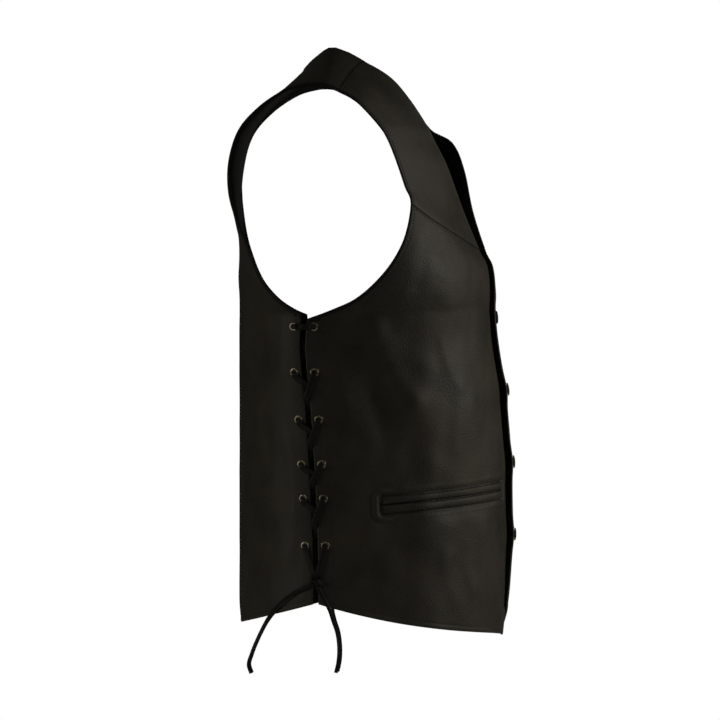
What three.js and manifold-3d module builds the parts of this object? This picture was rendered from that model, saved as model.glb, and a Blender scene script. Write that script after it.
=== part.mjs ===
// A side-laced leather vest, empty but holding the form of the general figure that wears it.
// Millimetres, +Z up. The front faces -Y and the wearer's left is +X.
// The origin lies between the two shoulders, at the height where the straps rest on them.

import * as THREE from "three";
import { mergeVertices } from "three/addons/utils/BufferGeometryUtils.js";
import Module from "manifold-3d";

// Leather and seams
const WALL = 2.0;
const SEAM_GAP = 0.3;
const BODY_COLUMNS = 13;
// Longest distance between rows of points below the armholes, and beside and above them
const BODY_STEP = 48;
const SCYE_STEP = 24;
// Shares of the section's curve taken by the flat column along the lacing edge
const FRONT_LACING_SHARE = 0.044;
const BACK_LACING_SHARE = 0.104;
const EDGE_NUDGE = 0.5;

// The left front's lower corner, which rides up over the right one
const LEFT_CORNER_RISE = 32;
const LEFT_CORNER_FADE = 120;
const LEFT_CORNER_SHARE = 0.3;

// Pocket welts, laid on each front
const WELT_THICKNESS = 1.6;
const WELT_GAP = 0.5;
const POCKET_FIRST_COLUMN = 2;
const POCKET_LAST_COLUMN = 10;
const POCKET_FRONT_Z = -483.5;
const POCKET_REAR_Z = -501.5;
const UPPER_WELT_HEIGHT = 8;
const LOWER_WELT_HEIGHT = 9;
const WELT_SLIT = 1.6;

// Side lacing
const EYELET_INSET = 8.5;
const EYELET_BORE = 2.7;
const EYELET_BARREL = 3.0;
const EYELET_FLANGE = 4.9;
const FLANGE_THICKNESS = 0.6;
const EYELET_SIDES = 8;
const HOLE_LENGTH = 14;
// Turns holes and eyelets alike, so that no corner of a hole lies on an edge of the leather's mesh
const HOLE_TWIST = 0.17;
const EYELET_HEIGHTS = [-298, -350, -404, -455, -494, -548];
const LACE_WIDTH = 4.4;
const LACE_THICKNESS = 1.6;
const LACE_STEPS = 1;
const KNOT_HEIGHT = -590;
const KNOT_RADII = [3.6, 8.5, 5.2];
const KNOT_SIDES = 12;

// Front snaps, one cap and one stud each
const SNAP_HEIGHTS = [-287, -370, -453, -536];
const CAP_RADIUS = 7.5;
const CAP_RISE = 3.0;
const CAP_SHAFT = 2.2;
const SOCKET_RADIUS = 5.5;
const STUD_RADIUS = 5.0;
const STUD_SHAFT = 1.8;
const SNAP_HOLE_CLEARANCE = 0.3;
const SNAP_SIDES = 12;

// Sections of the wearer's right half, from the front hem over the shoulder to the back hem.
// in: the point on the centre front, neckline or centre back. out: the point on the lacing edge or armhole.
// inAcross, inDeep, outAcross and outDeep place the two handles of the section's curve, as shares of its
// span in X and Y. bowY and bowZ push both handles out, and outDrop moves the outer one along Z. ahead moves
// the left half's inner edge forwards, where it laps over the right one; astern moves its outer edge back.
// turn names the edge that turns sharply at a row, inner or outer; the mesh has points there, and on a row
// marked mesh.
const SECTION_COLUMNS = ["name", "turn", "inX", "inY", "inZ", "outX", "outY", "outZ",
  "inAcross", "inDeep", "outAcross", "outDeep", "bowY", "bowZ", "outDrop", "ahead", "astern"];
const SECTION_ROWS = [
  ["front hem", "none", 15, -203, -652, -186, 0, -615, 0.56, -0.03, 0.03, 0.62, 0, -6, -20, 6, 0],
  ["front skirt", "none", 15, -206, -619, -186, 0, -599, 0.56, -0.03, 0.03, 0.62, 0, -4, -12, 6, 0],
  ["front pocket", "none", 15, -208, -549, -184, 1, -542, 0.56, -0.03, 0.03, 0.64, 0, -2, -2, 6.5, 0],
  ["front waist", "none", 15, -207, -468, -183, 4, -474, 0.56, -0.03, 0.03, 0.64, 0, 0, 0, 7, 0],
  ["front ribs", "none", 15, -201, -382, -185, 9, -393, 0.56, -0.03, 0.03, 0.64, 0, 0, 0, 7, 0],
  ["front chest", "none", 15, -191, -307, -188, 15, -324, 0.56, -0.03, 0.03, 0.66, 0, 0, 0, 6.5, 4],
  ["front armpit", "outer", 15, -189, -276, -189, 13, -289, 0.56, -0.03, 0.03, 0.68, 0, 0, 0, 6, 9],
  ["front scye 1", "none", 15, -190, -262, -189, -14, -279, 0.55, -0.03, 0.04, 0.65, 0, 0, 0, 5.5, 7],
  ["front scye 2", "none", 15, -190, -248, -187, -45, -264, 0.53, -0.03, 0.06, 0.61, 0, 0, 0, 5, 4],
  ["front scye 3", "none", 14, -189, -237, -181, -77, -233, 0.50, -0.03, 0.10, 0.55, 0, -2, 0, 5, 1],
  ["front scye 4", "none", 12, -186, -226, -172, -97, -198, 0.46, -0.02, 0.16, 0.50, 0, -6, 0, 5.5, 0],
  ["yoke seam", "none", 2, -178, -212, -165, -105, -158, 0.42, 0.06, 0.22, 0.46, 0, -10, 0, 6.5, 0],
  ["strap 1", "none", -27, -160, -166, -165, -98, -136, 0.38, 0.16, 0.26, 0.42, 0, -7, 0, 9, 0],
  ["strap 2", "none", -54, -142, -114, -169, -86, -101, 0.36, 0.20, 0.30, 0.40, 0, -2, 0, 15, 0],
  ["strap 2 notch", "mesh", -64, -128, -85, -172, -77, -80, 0.35, 0.22, 0.31, 0.39, 0, 0, 0, 15, 0],
  ["strap 3", "none", -70, -122, -72, -175, -69, -68, 0.35, 0.24, 0.32, 0.38, 0, 2, 0, -2, 0],
  ["strap 4", "none", -78, -100, -38, -181, -48, -45, 0.34, 0.28, 0.33, 0.36, 0, 5, 0, -4, 0],
  ["strap 5", "none", -82, -76, -12, -184, -36, -36, 0.33, 0.30, 0.33, 0.35, 0, 5, 0, -2, 0],
  ["shoulder seam", "none", -84, -46, 6, -186, -22, -29, 0.33, 0.33, 0.33, 0.33, 0, 4, 0, 0, 0],
  ["shoulder top", "none", -86, -13, 22, -186, -11, -24, 0.33, 0.33, 0.33, 0.33, 0, 3, 0, 0, 0],
  ["back neck 1", "none", -70, 6, 12, -186, -3, -22, 0.33, 0.33, 0.33, 0.33, 1, 4, 0, 0, 0],
  ["back neck 2", "none", -40, 20, 0, -186, 6, -21, 0.34, 0.33, 0.32, 0.33, 2, 4, 0, 0, 0],
  ["back neck 3", "inner", 0, 25, -5, -185, 17, -22, 0.36, 0.33, 0.30, 0.33, 1, 3, 0, 0, 0],
  ["shoulder blade 1", "none", 0, 46, -25, -184, 38, -28, 0.38, 0.20, 0.27, 0.33, 0, 0, 0, 0, 0],
  ["shoulder blade 2", "none", 0, 67, -47, -182, 67, -47, 0.40, 0.10, 0.25, 0.33, 0, 0, 0, 0, 0],
  ["shoulder blade 3", "none", 0, 84, -76, -180, 91, -74, 0.42, 0.05, 0.22, 0.33, 4, 0, 0, 0, 0],
  ["back scye 1", "none", 0, 93, -110, -179, 102, -109, 0.43, 0.0, 0.20, 0.33, 5, 0, 0, 0, 0],
  ["back scye 2", "none", 0, 97, -146, -179, 102, -146, 0.44, 0.0, 0.18, 0.40, 4, 0, 0, 0, 3],
  ["back scye 3", "none", 0, 96, -181, -181, 91, -183, 0.46, 0.0, 0.15, 0.55, 2, 0, 0, 0, 9],
  ["back scye 4", "none", 0, 96, -209, -183, 79, -210, 0.48, 0.0, 0.11, 0.60, 0, 0, 0, 0, 14],
  ["back scye 5", "none", 0, 97, -240, -185, 64, -243, 0.50, 0.0, 0.08, 0.62, 0, 0, 0, 0, 15],
  ["back scye 6", "none", 0, 97, -263, -187, 46, -265, 0.52, 0.0, 0.05, 0.62, 0, 0, 0, 0, 14],
  ["back scye 7", "none", 0, 97, -276, -188, 30, -277, 0.54, 0.0, 0.03, 0.62, 0, 0, 0, 0, 12],
  ["back armpit", "outer", 0, 97, -288, -189, 19, -283, 0.56, 0.0, 0.03, 0.62, 0, 0, 0, 0, 9],
  ["back chest", "none", 0, 97, -319, -188, 21, -324, 0.56, 0.0, 0.03, 0.62, 0, 0, 0, 0, 4],
  ["back ribs", "none", 0, 97, -382, -185, 15, -393, 0.56, 0.0, 0.03, 0.62, 0, 0, 0, 0, 0],
  ["back waist", "none", 0, 97, -468, -183, 10, -474, 0.56, 0.0, 0.03, 0.62, 0, 0, 0, 0, 0],
  ["back hips", "none", 0, 97, -549, -184, 7, -542, 0.56, 0.0, 0.03, 0.62, 0, -1, 0, 0, 0],
  ["back skirt", "none", 0, 97, -612, -186, 6, -599, 0.56, 0.0, 0.03, 0.62, 0, -5, 0, 0, 0],
  ["back hem", "none", 0, 95, -637, -186, 6, -615, 0.56, 0.0, 0.03, 0.62, 0, -7, 0, 0, 0],
];

// Largest soft hollows and swells of the leather, each along a line from one end to the other.
// Their ends are given as a share of the section's curve and a height; a depth below zero is a swell.
const FOLD_COLUMNS = ["half", "piece", "u0", "z0", "u1", "z1", "width", "depth"];
const FOLD_ROWS = [
  ["right", "front", 0.84, -335, 0.74, -435, 26, 4.5],
  ["right", "front", 0.50, -290, 0.46, -400, 30, -2.5],
  ["right", "front", 0.61, -345, 0.62, -450, 24, -3.5],
  ["right", "front", 0.66, -538, 0.38, -528, 20, -2.0],
  ["left", "front", 0.83, -340, 0.74, -425, 26, 4.0],
  ["left", "front", 0.52, -300, 0.47, -395, 30, -2.2],
  ["left", "front", 0.60, -350, 0.62, -440, 24, -3.0],
  ["left", "front", 0.64, -545, 0.38, -532, 20, -2.0],
  ["right", "back", 0.62, -335, 0.30, -395, 28, 3.5],
  ["left", "back", 0.60, -350, 0.26, -390, 28, 3.0],
  ["right", "back", 0.55, -520, 0.20, -560, 28, 2.5],
  ["left", "back", 0.62, -500, 0.24, -548, 28, 2.5],
];
// Length of a section's curve that one unit of u stands for in the table of folds.
const SPAN = { front: 320, back: 225 };
const FOLD_FADE = 0.2;

// Free ends of each lace after its start on the knot: Y, Z and the distance from the middle plane.
const TAIL_ROUTES = {
  back: [[14, -595, 189.5], [27, -601, 185], [40, -610, 179], [51, -621, 170], [60, -634, 163],
    [67, -647, 160], [73, -660, 159], [78, -673, 158.5], [81, -684, 158.5], [78, -694, 159]],
  front: [[-3, -603, 190], [-8, -612, 189.8], [-13, -622, 189], [-17, -634, 188], [-21, -646, 187.5],
    [-23, -658, 187.3], [-23.5, -670, 187.5], [-22.5, -682, 188], [-20, -693, 189]],
};
// The left lace's ends hang this much further back and lower, reached gradually between two heights
const LEFT_TAIL_SHIFT = 13;
const LEFT_TAIL_DROP = 4;
const LEFT_TAIL_TOP = -598;
const LEFT_TAIL_BOTTOM = -628;
const TAIL_SIDES = 8;
const TAIL_STEPS = 14;

const LEATHER = { color: 0x1e1a17, roughness: 0.55, metalness: 0 };
const BRASS = { color: 0x6f6653, roughness: 0.4, metalness: 1 };
const LACE_LEATHER = { color: 0x100e0d, roughness: 0.7, metalness: 0 };

const wasm = await Module();
wasm.setup();

const toObjects = (columns, rows) => rows.map(
  (row) => Object.fromEntries(row.map((value, index) => [columns[index], value])),
);
const sections = toObjects(SECTION_COLUMNS, SECTION_ROWS);
const folds = toObjects(FOLD_COLUMNS, FOLD_ROWS);
const SMOOTH_COLUMNS = SECTION_COLUMNS.slice(2);
// A sharp turn of an edge is gone at this share of the section's curve away from it
const TURN_FADE = 0.3;
const EDGE_COLUMNS = {
  none: [],
  mesh: [],
  inner: ["inX", "inY", "inZ", "inAcross", "inDeep", "ahead"],
  outer: ["outX", "outY", "outZ", "outAcross", "outDeep", "outDrop", "astern"],
};

// Each section's station is the mean distance travelled along the two edges.
sections.forEach((row, index) => {
  const before = sections[index - 1];
  if (!before) {
    row.station = 0;
    return;
  }
  const inner = Math.hypot(row.inX - before.inX, row.inY - before.inY, row.inZ - before.inZ);
  const outer = Math.hypot(row.outX - before.outX, row.outY - before.outY, row.outZ - before.outZ);
  row.station = before.station + (inner + outer) / 2;
});
const stationOf = (name) => sections.find((row) => row.name === name).station;
const YOKE_SEAM = stationOf("yoke seam");
const SHOULDER_SEAM = stationOf("shoulder seam");
const FRONT_ARMPIT = stationOf("front armpit");
const BACK_ARMPIT = stationOf("back armpit");
const BACK_HEM = stationOf("back hem");

function slopeBetween(low, high, column) {
  return (sections[high][column] - sections[low][column]) / (sections[high].station - sections[low].station);
}

// Slope of one column at a row. Where its edge turns sharply, the slope near that edge looks only to one
// side, forwards for a positive direction; u is the share of the section's curve from the inner edge.
function slope(index, column, direction, u) {
  const smooth = slopeBetween(Math.max(index - 1, 0), Math.min(index + 1, sections.length - 1), column);
  const { turn } = sections[index];
  if (!EDGE_COLUMNS[turn].includes(column)) return smooth;
  const low = direction > 0 ? index : index - 1;
  const sharp = slopeBetween(low, low + 1, column);
  const away = turn === "inner" ? u : 1 - u;
  return sharp + (smooth - sharp) * THREE.MathUtils.smoothstep(away, 0, TURN_FADE);
}

// All columns of the section at any station, for the point at share u.
function sectionAt(station, u) {
  let index = sections.findIndex((row) => row.station > station) - 1;
  if (index < 0) index = station <= 0 ? 0 : sections.length - 2;
  const start = sections[index];
  const end = sections[index + 1];
  const length = end.station - start.station;
  const t = THREE.MathUtils.clamp((station - start.station) / length, 0, 1);
  const section = {};
  for (const column of SMOOTH_COLUMNS) {
    const a = start[column];
    const b = end[column];
    const slopeA = slope(index, column, 1, u) * length;
    const slopeB = slope(index + 1, column, -1, u) * length;
    section[column] = a * (1 + 2 * t) * (1 - t) ** 2 + slopeA * t * (1 - t) ** 2
      + b * t * t * (3 - 2 * t) - slopeB * t * t * (1 - t);
  }
  return section;
}

// Point of the half vest without folds. half is "right" or "left"; u runs from the inner edge to the outer.
function formPoint(half, u, station) {
  const s = sectionAt(station, u);
  const dx = s.outX - s.inX;
  const dy = s.outY - s.inY;
  const dz = s.outZ - s.inZ;
  const curve = new THREE.CubicBezierCurve3(
    new THREE.Vector3(s.inX, s.inY, s.inZ),
    new THREE.Vector3(s.inX + s.inAcross * dx, s.inY + s.inDeep * dy + s.bowY, s.inZ + dz / 3 + s.bowZ),
    new THREE.Vector3(
      s.outX - s.outAcross * dx, s.outY - s.outDeep * dy + s.bowY, s.outZ - dz / 3 + s.bowZ + s.outDrop,
    ),
    new THREE.Vector3(s.outX, s.outY, s.outZ),
  );
  const point = curve.getPoint(u);
  if (half === "left") {
    point.x *= -1;
    point.y -= s.ahead * (1 - THREE.MathUtils.smoothstep(u, 0.12, 0.6));
    point.y += s.astern * THREE.MathUtils.smoothstep(u, 0.4, 1);
    const lift = (1 - THREE.MathUtils.smoothstep(u, 0, LEFT_CORNER_SHARE))
      * (1 - THREE.MathUtils.smoothstep(station, 0, LEFT_CORNER_FADE));
    point.z += LEFT_CORNER_RISE * lift;
  }
  return point;
}

// Outward normal of a point function, by small steps along u and the station.
function normalOf(pointAt, half, u, station) {
  const du = 0.01;
  const ds = 1.5;
  const u0 = Math.max(u - du, 0);
  const u1 = Math.min(u + du, 1);
  const s0 = Math.max(station - ds, 0);
  const s1 = Math.min(station + ds, BACK_HEM);
  const across = pointAt(half, u1, station).sub(pointAt(half, u0, station));
  const along = pointAt(half, u, s1).sub(pointAt(half, u, s0));
  const normal = along.cross(across).normalize();
  return half === "left" ? normal.negate() : normal;
}

// Folds fade out towards the centre front and the centre back, where the halves meet.
function foldDepth(half, u, station, z) {
  const piece = station < SHOULDER_SEAM ? "front" : "back";
  let depth = 0;
  for (const fold of folds) {
    if (fold.half !== half || fold.piece !== piece) continue;
    const span = SPAN[piece];
    const start = new THREE.Vector2(fold.u0 * span, fold.z0);
    const line = new THREE.Vector2(fold.u1 * span, fold.z1).sub(start);
    const point = new THREE.Vector2(u * span, z).sub(start);
    const share = THREE.MathUtils.clamp(point.dot(line) / line.lengthSq(), 0, 1);
    const distance = point.distanceTo(line.multiplyScalar(share));
    depth += fold.depth * Math.exp(-((distance / fold.width) ** 2));
  }
  return depth * THREE.MathUtils.smoothstep(u, 0, FOLD_FADE);
}

// Point on the middle of the leather, folds included.
function skinPoint(half, u, station) {
  const point = formPoint(half, u, station);
  const depth = foldDepth(half, u, station, point.z);
  if (Math.abs(depth) < 0.01) return point;
  return point.addScaledVector(normalOf(formPoint, half, u, station), -depth);
}

const skinNormal = (half, u, station) => normalOf(skinPoint, half, u, station);

// Stations from one to another, evenly spaced between the rows that are marked in the turn column.
function stationList(from, to) {
  const marked = sections.filter((row) => row.turn !== "none").map((row) => row.station);
  const stops = [from, ...marked.filter((station) => station > from + 1 && station < to - 1), to];
  const list = [from];
  for (let index = 1; index < stops.length; index += 1) {
    const length = stops[index] - stops[index - 1];
    const body = stops[index] <= FRONT_ARMPIT || stops[index - 1] >= BACK_ARMPIT;
    const count = Math.ceil(length / (body ? BODY_STEP : SCYE_STEP));
    for (let part = 1; part <= count; part += 1) list.push(stops[index - 1] + (length * part) / count);
  }
  return list;
}

const evenShares = (count) => Array.from({ length: count + 1 }, (_, index) => index / count);

// Shares of a panel's columns: even ones, then the flat column along the lacing edge.
const panelShares = (lacing) => [...evenShares(BODY_COLUMNS - 1).map((u) => u * (1 - lacing)), 1];
const shares = { front: panelShares(FRONT_LACING_SHARE), back: panelShares(BACK_LACING_SHARE) };
const stations = {
  front: stationList(0, YOKE_SEAM - EDGE_NUDGE * SEAM_GAP),
  back: stationList(SHOULDER_SEAM + EDGE_NUDGE * SEAM_GAP, BACK_HEM),
};

// Spot on the flat facets of a panel's lower part, at a share u of its width and a height z.
function facetSpot(half, piece, u, z) {
  const columns = shares[piece];
  const column = Math.min(columns.findIndex((share) => share > u + 1e-9), columns.length - 1);
  const left = column > 0 ? column - 1 : columns.length - 2;
  const share = (u - columns[left]) / (columns[left + 1] - columns[left]);
  const rows = stations[piece].filter((station) => (piece === "front"
    ? station <= FRONT_ARMPIT : station >= BACK_ARMPIT));
  const pair = (station) => [left, left + 1].map((index) => skinPoint(half, columns[index], station));
  for (let row = 0; row + 1 < rows.length; row += 1) {
    const [a, b] = pair(rows[row]);
    const [c, d] = pair(rows[row + 1]);
    const low = a.clone().lerp(b, share);
    const high = c.clone().lerp(d, share);
    if ((z - low.z) * (z - high.z) > 0) continue;
    const normal = high.clone().sub(low).cross(b.add(d).sub(a).sub(c)).normalize();
    if (half === "left") normal.negate();
    return { point: low.lerp(high, (z - low.z) / (high.z - low.z)), normal };
  }
  throw new Error("no " + piece + " facet at the height " + z);
}

// An open sheet of shared points with outward normals, which becomes a wall.
class Sheet {
  constructor() {
    this.points = [];
    this.normals = [];
    this.quads = [];
    this.known = new Map();
  }

  add(point, normal) {
    const key = [point.x, point.y, point.z].map((value) => Math.round(value * 100)).join(" ");
    if (this.known.has(key)) {
      const index = this.known.get(key);
      this.normals[index].add(normal);
      return index;
    }
    this.known.set(key, this.points.length);
    this.points.push(point);
    this.normals.push(normal.clone());
    return this.points.length - 1;
  }

  // Rows of grid points, each row a list of { point, normal }; turned reverses the faces.
  addGrid(rows, turned) {
    const ids = rows.map((row) => row.map((item) => this.add(item.point, item.normal)));
    for (let i = 0; i + 1 < ids.length; i += 1) {
      for (let j = 0; j + 1 < ids[i].length; j += 1) {
        const quad = [ids[i][j], ids[i + 1][j], ids[i + 1][j + 1], ids[i][j + 1]];
        this.quads.push(turned ? quad.reverse() : quad);
      }
    }
  }

  // Closed wall: the outer face, the inner face and a rim along every open edge.
  wall(thickness) {
    const count = this.points.length;
    const positions = [];
    for (const side of [0.5, -0.5]) {
      this.points.forEach((point, index) => {
        const normal = this.normals[index].clone().normalize();
        positions.push(...point.clone().addScaledVector(normal, side * thickness).toArray());
      });
    }
    const faces = [];
    const edges = new Set();
    this.quads.forEach((quad) => {
      const [a, b, c, d] = quad;
      faces.push(a, b, c, a, c, d, count + a, count + c, count + b, count + a, count + d, count + c);
      quad.forEach((start, corner) => edges.add(start + " " + quad[(corner + 1) % 4]));
    });
    edges.forEach((edge) => {
      const [start, end] = edge.split(" ").map(Number);
      if (edges.has(end + " " + start)) return;
      faces.push(start, count + start, count + end, start, count + end, end);
    });
    const geometry = new THREE.BufferGeometry();
    geometry.setAttribute("position", new THREE.Float32BufferAttribute(positions, 3));
    geometry.setIndex(faces);
    return geometry;
  }
}

// Grid of the leather over a list of shares u and a list of stations.
function skinRows(half, shares, stations) {
  return stations.map((station) => shares.map((u) => ({
    point: skinPoint(half, u, station),
    normal: skinNormal(half, u, station),
  })));
}

function solidOf(geometry) {
  const clean = geometry.index ? geometry.clone() : geometry;
  clean.deleteAttribute("normal");
  clean.deleteAttribute("uv");
  const merged = mergeVertices(clean, 1e-3);
  return new wasm.Manifold(new wasm.Mesh({
    numProp: 3,
    vertProperties: new Float32Array(merged.attributes.position.array),
    triVerts: new Uint32Array(merged.index.array),
  }));
}

function geometryOf(solid) {
  const mesh = solid.getMesh();
  const geometry = new THREE.BufferGeometry();
  geometry.setAttribute("position", new THREE.BufferAttribute(mesh.vertProperties, 3));
  geometry.setIndex(new THREE.BufferAttribute(mesh.triVerts, 1));
  return geometry;
}

// Turns a shape made along +Y so that +Y points along the given direction, and moves it to a point.
function aim(geometry, point, direction) {
  const turn = new THREE.Quaternion().setFromUnitVectors(new THREE.Vector3(0, 1, 0), direction);
  geometry.applyQuaternion(turn);
  geometry.translate(point.x, point.y, point.z);
  return geometry;
}

function holeAt(point, direction, radius, sides) {
  const cutter = new THREE.CylinderGeometry(radius, radius, HOLE_LENGTH, sides).rotateY(HOLE_TWIST);
  return solidOf(aim(cutter, point, direction));
}

const group = new THREE.Group();

function addMesh(name, geometry, look) {
  const plain = geometry.index ? geometry.toNonIndexed() : geometry;
  plain.computeVertexNormals();
  const mesh = new THREE.Mesh(plain, new THREE.MeshStandardMaterial(look));
  mesh.name = name;
  group.add(mesh);
}

// Where each eyelet sits: the share u is found so that it lies EYELET_INSET from the lacing edge.
function eyeletSpot(half, piece, z) {
  let u = 0.97;
  for (let pass = 0; pass < 6; pass += 1) {
    const reach = facetSpot(half, piece, 1, z).point.distanceTo(facetSpot(half, piece, u, z).point);
    u = 1 - ((1 - u) * EYELET_INSET) / reach;
  }
  return facetSpot(half, piece, u, z);
}

function eyeletGeometry(spot) {
  const face = WALL / 2 + SEAM_GAP;
  const top = face + FLANGE_THICKNESS;
  const profile = [
    [EYELET_BORE, -top], [EYELET_FLANGE, -top], [EYELET_FLANGE, -face], [EYELET_BARREL, -face],
    [EYELET_BARREL, face], [EYELET_FLANGE, face], [EYELET_FLANGE, top], [EYELET_BORE, top],
    [EYELET_BORE, -top],
  ].map(([radius, height]) => new THREE.Vector2(radius, height));
  return aim(new THREE.LatheGeometry(profile, EYELET_SIDES).rotateY(HOLE_TWIST), spot.point, spot.normal);
}

// Where each snap sits on the centre line of a front, and the direction that its shaft takes.
function snapSpot(half, z) {
  let low = 0;
  let high = shares.front[1];
  for (let pass = 0; pass < 30; pass += 1) {
    const u = (low + high) / 2;
    if (facetSpot(half, "front", u, z).point.x * (half === "left" ? -1 : 1) > 0) low = u;
    else high = u;
  }
  return facetSpot(half, "front", low, z);
}

function capGeometry(spot) {
  const face = WALL / 2 + SEAM_GAP;
  const profile = [
    [0, -face - 1.5], [SOCKET_RADIUS, -face - 1.5], [SOCKET_RADIUS, -face], [CAP_SHAFT, -face],
    [CAP_SHAFT, face], [CAP_RADIUS, face], [CAP_RADIUS, face + CAP_RISE * 0.35],
    [CAP_RADIUS * 0.8, face + CAP_RISE * 0.8], [CAP_RADIUS * 0.4, face + CAP_RISE], [0, face + CAP_RISE],
  ].map(([radius, height]) => new THREE.Vector2(radius, height));
  return aim(new THREE.LatheGeometry(profile, SNAP_SIDES), spot.point, spot.normal);
}

// The stud rises from the right front to just under the socket.
function studGeometry(spot, reach) {
  const face = WALL / 2 + SEAM_GAP;
  const profile = [
    [0, -face - 0.8], [STUD_RADIUS, -face - 0.8], [STUD_RADIUS, -face], [STUD_SHAFT, -face],
    [STUD_SHAFT, face], [STUD_RADIUS, face], [STUD_RADIUS, face + 0.9], [STUD_SHAFT, face + 0.9],
    [STUD_SHAFT, reach], [0, reach],
  ].map(([radius, height]) => new THREE.Vector2(radius, height));
  return aim(new THREE.LatheGeometry(profile, SNAP_SIDES), spot.point, spot.normal);
}

// A flat thong through a list of { point, normal, heading }; its width lies across normal and heading.
function thongGeometry(knots, steps) {
  const route = new THREE.CatmullRomCurve3(knots.map((knot) => knot.point), false, "centripetal");
  const normals = new THREE.CatmullRomCurve3(knots.map((knot) => knot.normal), false, "catmullrom", 0.2);
  const headings = new THREE.CatmullRomCurve3(knots.map((knot) => knot.heading), false, "catmullrom", 0.2);
  const count = (knots.length - 1) * steps;
  const outline = [[1, 0], [0.55, 1], [-0.55, 1], [-1, 0], [-0.55, -1], [0.55, -1]];
  const sides = outline.length;
  const positions = [];
  const faces = [];
  for (let index = 0; index <= count; index += 1) {
    const t = index / count;
    const center = route.getPoint(t);
    const ahead = route.getPoint(Math.min(t + 0.001, 1));
    const behind = route.getPoint(Math.max(t - 0.001, 0));
    const tangent = ahead.sub(behind).normalize();
    const width = normals.getPoint(t).cross(headings.getPoint(t));
    width.addScaledVector(tangent, -width.dot(tangent)).normalize();
    const thick = tangent.clone().cross(width);
    for (const [a, b] of outline) {
      const corner = center.clone().addScaledVector(width, (a * LACE_WIDTH) / 2);
      corner.addScaledVector(thick, (b * LACE_THICKNESS) / 2);
      positions.push(corner.x, corner.y, corner.z);
    }
  }
  for (let ring = 0; ring < count; ring += 1) {
    for (let side = 0; side < sides; side += 1) {
      const a = ring * sides + side;
      const b = ring * sides + ((side + 1) % sides);
      faces.push(a, b, b + sides, a, b + sides, a + sides);
    }
  }
  const last = count * sides;
  for (let side = 1; side + 1 < sides; side += 1) {
    faces.push(0, side + 1, side, last, last + side, last + side + 1);
  }
  const geometry = new THREE.BufferGeometry();
  geometry.setAttribute("position", new THREE.Float32BufferAttribute(positions, 3));
  geometry.setIndex(faces);
  return geometry;
}

// Walls of the two fronts, the two strap yokes and the back
const halves = ["right", "left"];
const panels = {};

function panelWall(parts, columns, rows) {
  const sheet = new Sheet();
  for (const half of parts) sheet.addGrid(skinRows(half, columns, rows), half === "left");
  return solidOf(sheet.wall(WALL));
}

const strapRows = stationList(YOKE_SEAM + EDGE_NUDGE * SEAM_GAP, SHOULDER_SEAM - EDGE_NUDGE * SEAM_GAP);
for (const half of halves) {
  panels["front_" + half] = panelWall([half], shares.front, stations.front);
  panels["yoke_" + half] = panelWall([half], shares.front, strapRows);
}
panels.back = panelWall(halves, shares.back, stations.back);

// Eyelets down both sides, each through a hole in its panel
const eyelets = {};
for (const half of halves) {
  for (const piece of ["front", "back"]) {
    const panel = piece === "front" ? "front_" + half : "back";
    eyelets[half + piece] = EYELET_HEIGHTS.map((z) => eyeletSpot(half, piece, z));
    eyelets[half + piece].forEach((spot, index) => {
      const hole = holeAt(spot.point, spot.normal, EYELET_BARREL + SEAM_GAP, EYELET_SIDES);
      panels[panel] = panels[panel].subtract(hole);
      addMesh("eyelet_" + piece + "_" + half + "_" + (index + 1), eyeletGeometry(spot), BRASS);
    });
  }
}

// Snaps down the lapped fronts: the caps are on the left front, the studs under them on the right one
SNAP_HEIGHTS.forEach((z, index) => {
  const cap = snapSpot("left", z);
  const stud = snapSpot("right", z);
  const capHole = holeAt(cap.point, cap.normal, CAP_SHAFT + SNAP_HOLE_CLEARANCE, SNAP_SIDES);
  const studHole = holeAt(stud.point, stud.normal, STUD_SHAFT + SNAP_HOLE_CLEARANCE, SNAP_SIDES);
  panels.front_left = panels.front_left.subtract(capHole);
  panels.front_right = panels.front_right.subtract(studHole);
  const socket = WALL / 2 + SEAM_GAP + 1.5;
  const reach = cap.point.clone().sub(stud.point).dot(cap.normal) - socket - SEAM_GAP;
  addMesh("snap_cap_" + (index + 1), capGeometry(cap), BRASS);
  addMesh("snap_stud_" + (index + 1), studGeometry(stud, reach), BRASS);
});

for (const [name, solid] of Object.entries(panels)) addMesh(name, geometryOf(solid), LEATHER);

// Two welts of each pocket, laid on the front from its own points
function weltGeometry(half, low, high) {
  const lift = WALL / 2 + WELT_GAP + WELT_THICKNESS / 2;
  const columns = shares.front.slice(POCKET_FIRST_COLUMN, POCKET_LAST_COLUMN + 1);
  const rows = [low, high].map((offset) => columns.map((u, index) => {
    const share = index / (columns.length - 1);
    const z = THREE.MathUtils.lerp(POCKET_FRONT_Z, POCKET_REAR_Z, share) + offset;
    const spot = facetSpot(half, "front", u, z);
    const beside = facetSpot(half, "front", u - 1e-6, z);
    const normal = spot.normal.add(beside.normal).normalize();
    return { point: spot.point.addScaledVector(normal, lift), normal };
  }));
  const sheet = new Sheet();
  sheet.addGrid(rows, half === "left");
  return sheet.wall(WELT_THICKNESS);
}

for (const half of halves) {
  const slit = WELT_SLIT / 2;
  addMesh("welt_upper_" + half, weltGeometry(half, slit, slit + UPPER_WELT_HEIGHT), LEATHER);
  addMesh("welt_lower_" + half, weltGeometry(half, -slit - LOWER_WELT_HEIGHT, -slit), LEATHER);
}

const LACE_EASE = 0.5;
// Height of the lace's middle over the middle of the leather, and how it turns through an eyelet
const LACE_HIGH = WALL / 2 + 2 * SEAM_GAP + FLANGE_THICKNESS + LACE_THICKNESS / 2 + LACE_EASE;
const LACE_TURN = 1.7;
const LACE_HUMP = 0.5;
const LACE_REACH = 6.5;
const FLANGE_EDGE = 1.6;

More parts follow.
